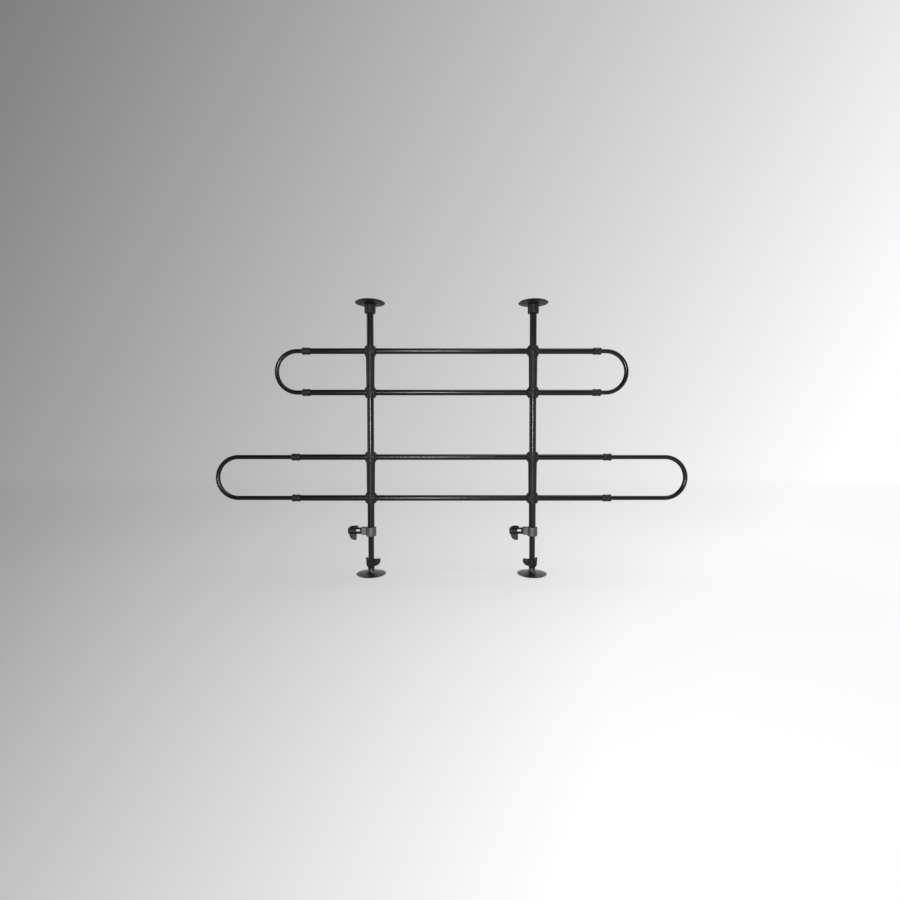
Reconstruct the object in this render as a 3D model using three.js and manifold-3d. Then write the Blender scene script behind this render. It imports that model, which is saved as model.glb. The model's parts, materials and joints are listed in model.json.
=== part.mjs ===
// A free-standing tubular dog guard for the boot of a car, in millimetres.
// The origin is on the floor, midway between the two foot pads. X runs along the rails, +Z is up,
// and the guard is seen square from the front by looking along +Y.
import * as THREE from "three";
import { mergeVertices } from "three/addons/utils/BufferGeometryUtils.js";
import Module from "manifold-3d";

const wasm = await Module();
wasm.setup();

// Tube stock
const POST_DIAMETER = 19;
const RAIL_DIAMETER = 16;
const LOOP_DIAMETER = 12;
const TUBE_WALL = 1;
const FIT_GAP = 0.3;
const ROUND_SIDES = 16;
const PAD_SIDES = 24;
const SMALL_SIDES = 12;
const CUT_OVERRUN = 1;

// Overall layout
const POST_SPACING = 450;
const RAIL_PAIR_SPACING = 114;
const LOWER_PAIR_HEIGHT = 271.5;
const UPPER_PAIR_DROP = 191.5;
const OVERALL_HEIGHT = 756;
const UPPER_COLLAR_REACH = 412.5;
const LOWER_COLLAR_REACH = 443.5;
const UPPER_LOOP_REACH = 489.5;
const LOWER_LOOP_REACH = 656.5;
const UPPER_LEG_STOP_GAP = 11.6;
const LOWER_LEG_ENGAGED = 38.5;

// Sliding loops
const LOOP_BEND_STEPS = 10;
const SWAGE_LENGTH = 10;
const SWAGE_TAPER = 3;

// Moulded double cross bracket
const HUB_HEIGHT = 29;
const HUB_RADIUS = 14;
const HUB_INNER_REACH = 17;
const HUB_OUTER_REACH = 14.4;
const HUB_EDGE = 1.6;
const GUSSET_DEPTH = 5.5;
const RAIL_SEAT_RADIUS = 8.9;
const RAIL_BARREL_RADIUS = 12.2;
const SLEEVE_TOP_RADIUS = 12.7;
const SLEEVE_SHOULDER_RADIUS = 11.8;
const SLEEVE_BOTTOM_RADIUS = 11.2;
const SLEEVE_SHOULDER_DROP = 20;
const SPIGOT_LENGTH = 24;

// End collar
const COLLAR_RADIUS = 10;
const COLLAR_LENGTH = 22;
const COLLAR_LIP = 5;
const COLLAR_TAIL_RADIUS = 9;
const COLLAR_MOUTH_CHAMFER = 1.6;
const COLLAR_TAIL_CHAMFER = 2.8;

// Pads on the floor and under the roof
const PAD_RADIUS = 41;
const PAD_SOLE_RADIUS = 37.5;
const PAD_UNDERCUT = 2.4;
const PAD_EDGE = 0.6;
const PAD_RIM_WIDTH = 3.5;
const PAD_RIM_HEIGHT = 3.3;
const PAD_STEP_WIDTH = 1.5;
const PAD_STEP_RISE = 0.7;
const PAD_CROWN_HEIGHT = 7.5;
const PAD_CROWN_RADIUS = 13;
const PAD_BOSS_RADIUS = 9;
const FOOT_BOSS_FLARE = 1.2;
const FOOT_BOSS_FLARE_HEIGHT = 10;
const FOOT_BOSS_FOOT_HEIGHT = 14;
const FOOT_BOSS_HEIGHT = 19.7;

// Roof pad collar
const CAP_RADIUS = 15.4;
const CAP_HEIGHT = 23.5;
const CAP_LIP = 4;
const CAP_EDGE = 1.4;
const ROOF_STEM_DEPTH = 22;

// Three-winged knob, used for the clamp screws and for the adjusting nuts
const KNOB_LENGTH = 23.4;
const KNOB_HUB_RADIUS = 9.2;
const KNOB_HUB_EDGE = 1.2;
const WING_RADIUS = 25.5;
const WING_THICKNESS = 4.6;
const WING_TIP_LENGTH = 5.8;
const WING_HUB_STUB = 2.9;
const WING_TIP_EDGE = 1;
const WING_COUNT = 3;
const WING_CURVE_POINTS = 7;
const NUT_TURN = THREE.MathUtils.degToRad(12);

// Threaded adjusting nut and foot stud
const STUD_DIAMETER = 8;
const STUD_BORE_GAP = 0.5;
const STUD_SOCKET_DEPTH = 14;
const STUD_RESERVE = 36;
const NUT_INSERT_RADIUS = 6;
const NUT_INSERT_LENGTH = 7;

// Lower tube
const LOWER_TUBE_DIAMETER = 16;
const LOWER_TUBE_EXPOSED = 63.6;
const LOWER_TUBE_ENGAGED = 370;
const END_PLUG_FLANGE = 1.6;
const END_PLUG_DEPTH = 15;
const GLIDE_FLANGE = 5;
const GLIDE_DEPTH = 14;
const GLIDE_BORE_RADIUS = 4;

// Height clamp
const CLAMP_RADIUS = 14.5;
const CLAMP_HEIGHT = 26;
const CLAMP_LIP = 5;
const CLAMP_TOP_EDGE = 0.8;
const CLAMP_BOTTOM_EDGE = 4;
const SCREW_ABOVE_CLAMP_BASE = 15.5;
const EAR_REACH = 26;
const EAR_HALF_HEIGHT = 10.5;
const EAR_HALF_DEPTH = 9.5;
const EAR_CORNER = 3.2;
const INSERT_RADIUS = 4.6;
const INSERT_LENGTH = 9;
const CLAMP_STUD_DIAMETER = 6;
const PRESSURE_TIP_LENGTH = 3.4;

// Slotted neck between the ear and the wings of the clamp knob
const NECK_LENGTH = 13.4;
const NECK_END_WALL = 3.2;
const SLOT_DEPTH_IN_WINGS = 3;
const SLOT_HEIGHT = 5.6;
const SLOT_OFFSET = 0.7;
const KNOB_TILT = THREE.MathUtils.degToRad(-10);

// Places worked out from the sizes above
const postX = POST_SPACING / 2;
const postBore = POST_DIAMETER / 2 - TUBE_WALL;
const railBore = RAIL_DIAMETER / 2 - TUBE_WALL;
const bendRadius = RAIL_PAIR_SPACING / 2;
const nutBase = FOOT_BOSS_HEIGHT + FIT_GAP;
const nutTop = nutBase + KNOB_LENGTH;
const lowerTubeBase = nutTop + FIT_GAP;
const clampBase = lowerTubeBase + LOWER_TUBE_EXPOSED;
const clampTop = clampBase + CLAMP_HEIGHT;
const screwHeight = clampBase + SCREW_ABOVE_CLAMP_BASE;
const postBottom = clampBase + CLAMP_LIP + FIT_GAP;
const capTop = OVERALL_HEIGHT - PAD_CROWN_HEIGHT - FIT_GAP;
const postTop = capTop - CAP_LIP - FIT_GAP;
const lowerTubeTop = clampBase + LOWER_TUBE_ENGAGED;
const studBore = STUD_DIAMETER / 2 + STUD_BORE_GAP;
const clampStudBore = CLAMP_STUD_DIAMETER / 2 + FIT_GAP + FIT_GAP / 2;
const tipInnerEnd = LOWER_TUBE_DIAMETER / 2 + FIT_GAP;
const tipOuterEnd = tipInnerEnd + PRESSURE_TIP_LENGTH;
const neckInnerEnd = EAR_REACH + FIT_GAP + FIT_GAP;
const wingFlat = neckInnerEnd + NECK_LENGTH;
const spigotEnd = postX + HUB_OUTER_REACH + SPIGOT_LENGTH;

const SIDES = [
  { name: "left", sign: -1 },
  { name: "right", sign: 1 },
];
const PAIRS = [
  {
    name: "lower",
    height: LOWER_PAIR_HEIGHT,
    collarReach: LOWER_COLLAR_REACH,
    loopReach: LOWER_LOOP_REACH,
    legStart: LOWER_COLLAR_REACH - LOWER_LEG_ENGAGED,
  },
  {
    name: "upper",
    height: OVERALL_HEIGHT - UPPER_PAIR_DROP,
    collarReach: UPPER_COLLAR_REACH,
    loopReach: UPPER_LOOP_REACH,
    legStart: spigotEnd + UPPER_LEG_STOP_GAP,
  },
];
const ROWS = [
  { name: "top", sign: 1 },
  { name: "bottom", sign: -1 },
];

// Materials

function paintedTube() {
  return new THREE.MeshStandardMaterial({ color: 0x15181a, roughness: 0.32, metalness: 0.35 });
}

function greyMoulding() {
  return new THREE.MeshStandardMaterial({ color: 0x363b38, roughness: 0.62, metalness: 0 });
}

function clampPlastic() {
  return new THREE.MeshStandardMaterial({ color: 0x4b4e4f, roughness: 0.6, metalness: 0 });
}

function blackPlastic() {
  return new THREE.MeshStandardMaterial({ color: 0x1a1c1c, roughness: 0.45, metalness: 0 });
}

function padRubber() {
  return new THREE.MeshStandardMaterial({ color: 0x3b3c36, roughness: 0.7, metalness: 0 });
}

function platedSteel() {
  return new THREE.MeshStandardMaterial({ color: 0x9fa3a6, roughness: 0.35, metalness: 1 });
}

function insertBrass() {
  return new THREE.MeshStandardMaterial({ color: 0xb5924c, roughness: 0.4, metalness: 1 });
}

function glidePlastic() {
  return new THREE.MeshStandardMaterial({ color: 0xc9c8c0, roughness: 0.55, metalness: 0 });
}

// Solid geometry helpers

// Turns a profile of [radius, height] pairs about the Z axis.
function turned(profile, sides) {
  const points = profile.map(([radius, height]) => new THREE.Vector2(radius, height));
  const geometry = new THREE.LatheGeometry(points, sides);
  geometry.rotateX(Math.PI / 2);
  return geometry;
}

// A closed ring profile: the section between two radii and two heights.
function ringProfile(innerRadius, outerRadius, bottom, top) {
  return [
    [innerRadius, bottom],
    [outerRadius, bottom],
    [outerRadius, top],
    [innerRadius, top],
    [innerRadius, bottom],
  ];
}

// A closed disc profile that starts and ends on the axis.
function discProfile(radius, bottom, top) {
  return [
    [0, bottom],
    [radius, bottom],
    [radius, top],
    [0, top],
  ];
}

// Lays a piece turned about Z along the X axis, with its +Z end towards the given side.
function alongX(geometry, sign) {
  geometry.rotateY((sign * Math.PI) / 2);
  return geometry;
}

function solidOf(geometry) {
  const bare = geometry.index ? geometry.toNonIndexed() : geometry.clone();
  bare.deleteAttribute("normal");
  bare.deleteAttribute("uv");
  const merged = mergeVertices(bare);
  const mesh = new wasm.Mesh({
    numProp: 3,
    vertProperties: new Float32Array(merged.attributes.position.array),
    triVerts: new Uint32Array(merged.index.array),
  });
  return new wasm.Manifold(mesh);
}

function geometryOf(solid) {
  const mesh = solid.getMesh();
  const geometry = new THREE.BufferGeometry();
  geometry.setAttribute("position", new THREE.BufferAttribute(new Float32Array(mesh.vertProperties), 3));
  geometry.setIndex(new THREE.BufferAttribute(new Uint32Array(mesh.triVerts), 1));
  geometry.computeVertexNormals();
  return geometry;
}

// Joins the first list of geometries and cuts the second list out of the result.
function joinedAndCut(additions, cuts) {
  let solid = solidOf(additions[0]);
  for (const addition of additions.slice(1)) {
    solid = solid.add(solidOf(addition));
  }
  for (const cut of cuts) {
    solid = solid.subtract(solidOf(cut));
  }
  return geometryOf(solid);
}

// Skins a ring of cross-sections that closes on itself, such as a bent tube with its bore.
function closedSkin(sections) {
  const sides = sections[0].length;
  const positions = sections.flat().flatMap((point) => [point.x, point.y, point.z]);
  const index = [];
  for (let row = 0; row < sections.length; row += 1) {
    const here = row * sides;
    const next = ((row + 1) % sections.length) * sides;
    for (let side = 0; side < sides; side += 1) {
      const turn = (side + 1) % sides;
      index.push(here + side, here + turn, next + side);
      index.push(here + turn, next + turn, next + side);
    }
  }
  const geometry = new THREE.BufferGeometry();
  geometry.setAttribute("position", new THREE.BufferAttribute(new Float32Array(positions), 3));
  geometry.setIndex(index);
  geometry.computeVertexNormals();
  return geometry;
}

function roundTube(diameter, length) {
  const outer = diameter / 2;
  return turned(ringProfile(outer - TUBE_WALL, outer, 0, length), ROUND_SIDES);
}

// Tubes

// A post with the hole in its wall that the pressure tip passes through.
function postTube() {
  const tube = roundTube(POST_DIAMETER, postTop - postBottom);
  tube.translate(0, 0, postBottom);
  const hole = alongX(turned(discProfile(clampStudBore, 0, POST_DIAMETER), SMALL_SIDES), -1);
  hole.translate(0, 0, screwHeight);
  return joinedAndCut([tube], [hole]);
}

function centreRail() {
  const length = POST_SPACING - 2 * (HUB_INNER_REACH + FIT_GAP);
  const tube = roundTube(RAIL_DIAMETER, length);
  tube.translate(0, 0, -length / 2);
  return alongX(tube, 1);
}

function sideTube(collarReach) {
  const start = HUB_OUTER_REACH + FIT_GAP;
  const end = collarReach - postX - COLLAR_LIP - FIT_GAP;
  const tube = roundTube(RAIL_DIAMETER, end - start);
  tube.translate(0, 0, start);
  return alongX(tube, 1);
}

function lowerTube() {
  const base = lowerTubeBase + END_PLUG_FLANGE + FIT_GAP;
  const tube = roundTube(LOWER_TUBE_DIAMETER, lowerTubeTop - base);
  tube.translate(0, 0, base);
  return tube;
}

// Sliding loop

// One ring of points across the loop's tube, square to the direction at the given place.
function loopSection(place, inPlane, radius) {
  const points = [];
  for (let side = 0; side < ROUND_SIDES; side += 1) {
    const angle = (2 * Math.PI * side) / ROUND_SIDES;
    const point = place.clone();
    point.addScaledVector(inPlane, radius * Math.cos(angle));
    point.y += radius * Math.sin(angle);
    points.push(point);
  }
  return points;
}

// The stations of one skin of the loop, from the lower leg's end round the bend to the upper leg's.
function loopStations(legStart, bendStart, legRadii) {
  const stations = [];
  const leg = legRadii.map(([distance, radius]) => [legStart + distance, radius]);
  for (const [x, radius] of leg) {
    stations.push(loopSection(new THREE.Vector3(x, 0, -bendRadius), new THREE.Vector3(0, 0, -1), radius));
  }
  const plainRadius = legRadii[legRadii.length - 1][1];
  for (let step = 0; step <= LOOP_BEND_STEPS; step += 1) {
    const angle = -Math.PI / 2 + (Math.PI * step) / LOOP_BEND_STEPS;
    const outward = new THREE.Vector3(Math.cos(angle), 0, Math.sin(angle));
    const place = outward.clone().multiplyScalar(bendRadius);
    place.x += bendStart;
    stations.push(loopSection(place, outward, plainRadius));
  }
  for (const [x, radius] of leg.slice().reverse()) {
    stations.push(loopSection(new THREE.Vector3(x, 0, bendRadius), new THREE.Vector3(0, 0, 1), radius));
  }
  return stations;
}

// A U-shaped tube whose leg ends are swaged up to the bore of the side tube, so that they guide
// the leg and stop at the collar's lip.
function slidingLoop(pair) {
  const outer = LOOP_DIAMETER / 2;
  const inner = outer - TUBE_WALL;
  const swage = railBore - FIT_GAP;
  const bendStart = pair.loopReach - outer - bendRadius;
  const outerLeg = [
    [0, swage],
    [SWAGE_LENGTH - SWAGE_TAPER, swage],
    [SWAGE_LENGTH, outer],
  ];
  const innerLeg = [
    [0, swage - TUBE_WALL],
    [SWAGE_LENGTH - SWAGE_TAPER, swage - TUBE_WALL],
    [SWAGE_LENGTH, inner],
  ];
  const outerSkin = loopStations(pair.legStart, bendStart, outerLeg);
  const innerSkin = loopStations(pair.legStart, bendStart, innerLeg);
  return closedSkin([...outerSkin, ...innerSkin.reverse()]);
}

// Moulded double cross bracket

// One cross hub about the origin, its longer gusseted boss towards +X.
function crossHub() {
  const half = HUB_HEIGHT / 2;
  const barrel = turned(
    [
      [0, -half],
      [HUB_RADIUS - HUB_EDGE, -half],
      [HUB_RADIUS, -half + HUB_EDGE],
      [HUB_RADIUS, half - HUB_EDGE],
      [HUB_RADIUS - HUB_EDGE, half],
      [0, half],
    ],
    ROUND_SIDES,
  );
  const gusset = turned(
    [
      [0, 0],
      [half, 0],
      [half, HUB_INNER_REACH - GUSSET_DEPTH],
      [RAIL_SEAT_RADIUS, HUB_INNER_REACH],
      [0, HUB_INNER_REACH],
    ],
    ROUND_SIDES,
  );
  const boss = turned(discProfile(RAIL_BARREL_RADIUS, 0, HUB_OUTER_REACH), ROUND_SIDES);
  return [barrel, alongX(gusset, 1), alongX(boss, -1)];
}

// The pin that plugs into the end of a rail, from the given reach outwards.
function railSpigot(reach, sign) {
  const spigot = turned(discProfile(railBore - FIT_GAP, 0, reach + SPIGOT_LENGTH), ROUND_SIDES);
  return alongX(spigot, sign);
}

// Two cross hubs joined by a tapered sleeve, bored for the post, with four spigots for the rails.
function doubleCrossBracket() {
  const hubZ = RAIL_PAIR_SPACING / 2;
  const sleeveTop = hubZ - HUB_HEIGHT / 2;
  const additions = [
    turned(
      [
        [0, -hubZ],
        [SLEEVE_BOTTOM_RADIUS, -hubZ],
        [SLEEVE_BOTTOM_RADIUS, -sleeveTop],
        [SLEEVE_SHOULDER_RADIUS, sleeveTop - SLEEVE_SHOULDER_DROP],
        [SLEEVE_TOP_RADIUS, sleeveTop],
        [SLEEVE_TOP_RADIUS, hubZ],
        [0, hubZ],
      ],
      ROUND_SIDES,
    ),
  ];
  for (const row of ROWS) {
    const pieces = [
      ...crossHub(),
      railSpigot(HUB_INNER_REACH, 1),
      railSpigot(HUB_OUTER_REACH, -1),
    ];
    for (const piece of pieces) {
      piece.translate(0, 0, row.sign * hubZ);
      additions.push(piece);
    }
  }
  const reach = hubZ + HUB_HEIGHT / 2 + CUT_OVERRUN;
  const bore = turned(discProfile(POST_DIAMETER / 2 + FIT_GAP, -reach, reach), ROUND_SIDES);
  return joinedAndCut(additions, [bore]);
}

// End collar: a bush over the side tube's end, its lip closing down on the loop's leg.
// Its mouth is at the origin and its tail points towards -Z.
function endCollar() {
  const legBore = LOOP_DIAMETER / 2 + FIT_GAP;
  const tubeBore = RAIL_DIAMETER / 2 + FIT_GAP;
  return turned(
    [
      [tubeBore, -COLLAR_LENGTH],
      [COLLAR_TAIL_RADIUS, -COLLAR_LENGTH],
      [COLLAR_RADIUS, COLLAR_TAIL_CHAMFER - COLLAR_LENGTH],
      [COLLAR_RADIUS, -COLLAR_MOUTH_CHAMFER],
      [COLLAR_RADIUS - COLLAR_MOUTH_CHAMFER, 0],
      [legBore, 0],
      [legBore, -COLLAR_LIP],
      [tubeBore, -COLLAR_LIP],
      [tubeBore, -COLLAR_LENGTH],
    ],
    ROUND_SIDES,
  );
}

// Pads

// The outline of a round pad from its flat face up to its boss, as [radius, height] pairs.
// The flat face is smaller than the pad, so that the rim tapers to a thin edge.
function padOutline() {
  return [
    [0, 0],
    [PAD_SOLE_RADIUS, 0],
    [PAD_RADIUS, PAD_UNDERCUT],
    [PAD_RADIUS, PAD_UNDERCUT + PAD_EDGE],
    [PAD_RADIUS - PAD_RIM_WIDTH, PAD_RIM_HEIGHT],
    [PAD_RADIUS - PAD_RIM_WIDTH - PAD_STEP_WIDTH, PAD_RIM_HEIGHT + PAD_STEP_RISE],
    [PAD_CROWN_RADIUS, PAD_CROWN_HEIGHT],
  ];
}

// The foot pad, with a boss that holds the stud.
function footPad() {
  const socket = STUD_DIAMETER / 2 + FIT_GAP;
  const socketFloor = FOOT_BOSS_HEIGHT - STUD_SOCKET_DEPTH;
  return turned(
    [
      ...padOutline(),
      [PAD_BOSS_RADIUS + FOOT_BOSS_FLARE, FOOT_BOSS_FLARE_HEIGHT],
      [PAD_BOSS_RADIUS, FOOT_BOSS_FOOT_HEIGHT],
      [PAD_BOSS_RADIUS, FOOT_BOSS_HEIGHT],
      [socket, FOOT_BOSS_HEIGHT],
      [socket, socketFloor],
      [0, socketFloor],
    ],
    PAD_SIDES,
  );
}

// The roof pad, flat face up, with a stem that plugs into the top of the post.
function roofPad() {
  const stem = postBore - FIT_GAP;
  const stemEnd = PAD_CROWN_HEIGHT + CAP_LIP + ROOF_STEM_DEPTH;
  const pad = turned(
    [
      ...padOutline(),
      [stem, PAD_CROWN_HEIGHT],
      [stem, stemEnd],
      [0, stemEnd],
    ],
    PAD_SIDES,
  );
  pad.rotateX(Math.PI);
  pad.translate(0, 0, OVERALL_HEIGHT);
  return pad;
}

// The collar under a roof pad: a cap over the post's end, its lip under the pad.
function roofCollar() {
  const bottom = capTop - CAP_HEIGHT;
  const postHole = POST_DIAMETER / 2 + FIT_GAP;
  const lipHole = postBore;
  return turned(
    [
      [postHole, bottom],
      [CAP_RADIUS - CAP_EDGE, bottom],
      [CAP_RADIUS, bottom + CAP_EDGE],
      [CAP_RADIUS, capTop - CAP_EDGE],
      [CAP_RADIUS - CAP_EDGE, capTop],
      [lipHole, capTop],
      [lipHole, capTop - CAP_LIP],
      [postHole, capTop - CAP_LIP],
      [postHole, bottom],
    ],
    ROUND_SIDES,
  );
}

// Three-winged knob

// One wing as a flat plate that stands out from the hub, its flat side at the origin's height.
function knobWing(turn) {
  const shape = new THREE.Shape();
  const root = KNOB_HUB_RADIUS / 2;
  const base = KNOB_LENGTH - WING_HUB_STUB;
  const rise = base - WING_TIP_LENGTH;
  const reach = WING_RADIUS - KNOB_HUB_RADIUS;
  shape.moveTo(root, 0);
  shape.lineTo(WING_RADIUS - WING_TIP_EDGE, 0);
  shape.lineTo(WING_RADIUS, WING_TIP_EDGE);
  for (let step = 0; step <= WING_CURVE_POINTS; step += 1) {
    const angle = ((Math.PI / 2) * step) / WING_CURVE_POINTS;
    const x = KNOB_HUB_RADIUS + reach * Math.cos(angle);
    shape.lineTo(x, WING_TIP_LENGTH + rise * Math.sin(angle));
  }
  shape.lineTo(root, base);
  shape.closePath();
  const wing = new THREE.ExtrudeGeometry(shape, { depth: WING_THICKNESS, bevelEnabled: false });
  wing.translate(0, 0, -WING_THICKNESS / 2);
  wing.rotateX(Math.PI / 2);
  wing.rotateZ(turn);
  return wing;
}

function knobWings(firstTurn) {
  const wings = [];
  for (let count = 0; count < WING_COUNT; count += 1) {
    wings.push(knobWing(firstTurn + (2 * Math.PI * count) / WING_COUNT));
  }
  return wings;
}

// The round core of the knob, from the given height below the wings to its rounded end.
function knobHub(bottom) {
  return turned(
    [
      [0, bottom],
      [KNOB_HUB_RADIUS, bottom],
      [KNOB_HUB_RADIUS, KNOB_LENGTH - KNOB_HUB_EDGE],
      [KNOB_HUB_RADIUS - KNOB_HUB_EDGE, KNOB_LENGTH],
      [0, KNOB_LENGTH],
    ],
    ROUND_SIDES,
  );
}

// The adjusting nut: wings flat side up against the lower tube, bored for the stud, with a pocket
// for its threaded insert.
function adjustingNut(turn) {
  const bore = turned(discProfile(studBore, -CUT_OVERRUN, KNOB_LENGTH + CUT_OVERRUN), SMALL_SIDES);
  const pocketRadius = NUT_INSERT_RADIUS + FIT_GAP;
  const pocketDepth = NUT_INSERT_LENGTH + FIT_GAP;
  const pocket = turned(discProfile(pocketRadius, -CUT_OVERRUN, pocketDepth), SMALL_SIDES);
  const nut = joinedAndCut([knobHub(0), ...knobWings(-turn)], [bore, pocket]);
  nut.rotateX(Math.PI);
  nut.translate(0, 0, nutTop);
  return nut;
}

function nutInsert() {
  const bottom = nutTop - NUT_INSERT_LENGTH;
  return turned(ringProfile(studBore, NUT_INSERT_RADIUS, bottom, nutTop), SMALL_SIDES);
}

function footStud() {
  const bottom = FOOT_BOSS_HEIGHT - STUD_SOCKET_DEPTH + FIT_GAP;
  return turned(discProfile(STUD_DIAMETER / 2, bottom, nutTop + STUD_RESERVE), SMALL_SIDES);
}

// The plug in the lower tube's bottom end, whose flange bears on the adjusting nut.
function endPlug() {
  const outer = LOWER_TUBE_DIAMETER / 2;
  const shank = outer - TUBE_WALL - FIT_GAP;
  const flangeTop = lowerTubeBase + END_PLUG_FLANGE;
  const top = flangeTop + END_PLUG_DEPTH;
  return turned(
    [
      [studBore, lowerTubeBase],
      [outer, lowerTubeBase],
      [outer, flangeTop],
      [shank, flangeTop],
      [shank, top],
      [studBore, top],
      [studBore, lowerTubeBase],
    ],
    ROUND_SIDES,
  );
}

// The glide in the lower tube's top end, whose flange centres the tube in the post.
function topGlide() {
  const flange = postBore - FIT_GAP;
  const shank = LOWER_TUBE_DIAMETER / 2 - TUBE_WALL - FIT_GAP;
  const flangeBottom = lowerTubeTop + FIT_GAP;
  const bottom = flangeBottom - GLIDE_DEPTH;
  const top = flangeBottom + GLIDE_FLANGE;
  return turned(
    [
      [GLIDE_BORE_RADIUS, bottom],
      [shank, bottom],
      [shank, flangeBottom],
      [flange, flangeBottom],
      [flange, top],
      [GLIDE_BORE_RADIUS, top],
      [GLIDE_BORE_RADIUS, bottom],
    ],
    ROUND_SIDES,
  );
}

// Height clamp

// The ear block that carries the screw, with chamfered corners, standing out towards -X.
function clampEar() {
  const shape = new THREE.Shape();
  const height = EAR_HALF_HEIGHT;
  const depth = EAR_HALF_DEPTH;
  shape.moveTo(-depth, -height + EAR_CORNER);
  shape.lineTo(-depth + EAR_CORNER, -height);
  shape.lineTo(depth - EAR_CORNER, -height);
  shape.lineTo(depth, -height + EAR_CORNER);
  shape.lineTo(depth, height - EAR_CORNER);
  shape.lineTo(depth - EAR_CORNER, height);
  shape.lineTo(-depth + EAR_CORNER, height);
  shape.lineTo(-depth, height - EAR_CORNER);
  shape.closePath();
  const ear = new THREE.ExtrudeGeometry(shape, { depth: EAR_REACH, bevelEnabled: false });
  ear.rotateZ(Math.PI / 2);
  alongX(ear, -1);
  ear.translate(0, 0, screwHeight);
  return ear;
}

// The moulded ring round the post's lower end. It steps in below the post to guide the lower tube.
function clampRing() {
  const body = turned(
    [
      [0, clampBase],
      [CLAMP_RADIUS - CLAMP_BOTTOM_EDGE, clampBase],
      [CLAMP_RADIUS - CLAMP_BOTTOM_EDGE / 4, clampBase + CLAMP_BOTTOM_EDGE / 2],
      [CLAMP_RADIUS, clampBase + CLAMP_BOTTOM_EDGE],
      [CLAMP_RADIUS, clampTop - CLAMP_TOP_EDGE],
      [CLAMP_RADIUS - CLAMP_TOP_EDGE, clampTop],
      [0, clampTop],
    ],
    ROUND_SIDES,
  );
  const postHole = POST_DIAMETER / 2 + FIT_GAP;
  const tubeHole = LOWER_TUBE_DIAMETER / 2 + FIT_GAP;
  const screwHole = discProfile(clampStudBore, 0, EAR_REACH + CUT_OVERRUN);
  const insertPocket = discProfile(
    INSERT_RADIUS + FIT_GAP,
    EAR_REACH - INSERT_LENGTH - FIT_GAP,
    EAR_REACH + CUT_OVERRUN,
  );
  const sideCuts = [screwHole, insertPocket].map((profile) => {
    const cut = alongX(turned(profile, SMALL_SIDES), -1);
    cut.translate(0, 0, screwHeight);
    return cut;
  });
  return joinedAndCut(
    [body, clampEar()],
    [
      turned(discProfile(postHole, clampBase + CLAMP_LIP, clampTop + CUT_OVERRUN), ROUND_SIDES),
      turned(discProfile(tubeHole, clampBase - CUT_OVERRUN, clampTop), ROUND_SIDES),
      ...sideCuts,
    ],
  );
}

function clampInsert() {
  const inner = EAR_REACH - INSERT_LENGTH;
  const insert = turned(ringProfile(clampStudBore, INSERT_RADIUS, inner, EAR_REACH), SMALL_SIDES);
  return alongX(insert, -1);
}

function pressureTip() {
  const radius = CLAMP_STUD_DIAMETER / 2;
  return alongX(turned(discProfile(radius, tipInnerEnd, tipOuterEnd), SMALL_SIDES), -1);
}

// The steel stud from the pressure tip to the blind socket in the knob's neck.
function clampStud() {
  const radius = CLAMP_STUD_DIAMETER / 2;
  const inner = tipOuterEnd + FIT_GAP;
  const outer = neckInnerEnd + NECK_END_WALL / 2 - FIT_GAP;
  return alongX(turned(discProfile(radius, inner, outer), SMALL_SIDES), -1);
}

// The clamp knob about its own axis: wings beyond a neck, with a slot right through that starts
// near the neck's end and runs a little way in between the wings.
function clampKnob() {
  const slotLength = NECK_LENGTH - NECK_END_WALL + SLOT_DEPTH_IN_WINGS;
  const slot = new THREE.BoxGeometry(SLOT_HEIGHT, 2 * KNOB_HUB_RADIUS + CUT_OVERRUN, slotLength);
  slot.translate(SLOT_OFFSET, 0, SLOT_DEPTH_IN_WINGS - slotLength / 2);
  const socketRadius = CLAMP_STUD_DIAMETER / 2 + FIT_GAP;
  const socketTop = NECK_END_WALL / 2 - NECK_LENGTH;
  const socket = turned(
    discProfile(socketRadius, -NECK_LENGTH - CUT_OVERRUN, socketTop),
    SMALL_SIDES,
  );
  const knob = joinedAndCut([knobHub(-NECK_LENGTH), ...knobWings(Math.PI)], [slot, socket]);
  knob.translate(0, 0, wingFlat);
  alongX(knob, -1);
  return knob;
}

// Assembly

const guard = new THREE.Group();

function add(parent, name, geometry, material) {
  const mesh = new THREE.Mesh(geometry, material);
  mesh.name = name;
  parent.add(mesh);
  return mesh;
}

// A bracket faces the centre with its gusseted bosses, so the right one is turned half round.
function addBracket(parent, pair, side) {
  const mesh = add(parent, `${pair.name}_${side.name}_bracket`, doubleCrossBracket(), greyMoulding());
  mesh.position.set(side.sign * postX, 0, pair.height);
  mesh.rotation.z = side.sign > 0 ? Math.PI : 0;
}

// What stands out beyond one post at one rail pair: side tubes, collars and the sliding loop.
function addWing(parent, pair, side) {
  const wing = new THREE.Group();
  wing.position.z = pair.height;
  wing.rotation.z = side.sign > 0 ? 0 : Math.PI;
  parent.add(wing);
  const prefix = `${pair.name}_${side.name}`;
  for (const row of ROWS) {
    const height = row.sign * bendRadius;
    const tube = add(wing, `${prefix}_side_tube_${row.name}`, sideTube(pair.collarReach), paintedTube());
    tube.position.set(postX, 0, height);
    const collar = add(wing, `${prefix}_collar_${row.name}`, alongX(endCollar(), 1), greyMoulding());
    collar.position.set(pair.collarReach, 0, height);
  }
  add(wing, `${prefix}_loop`, slidingLoop(pair), paintedTube());
}

function addRailPair(parent, pair) {
  for (const row of ROWS) {
    const rail = add(parent, `${pair.name}_centre_rail_${row.name}`, centreRail(), paintedTube());
    rail.position.z = pair.height + row.sign * bendRadius;
  }
  for (const side of SIDES) {
    addBracket(parent, pair, side);
    addWing(parent, pair, side);
  }
}

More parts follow.
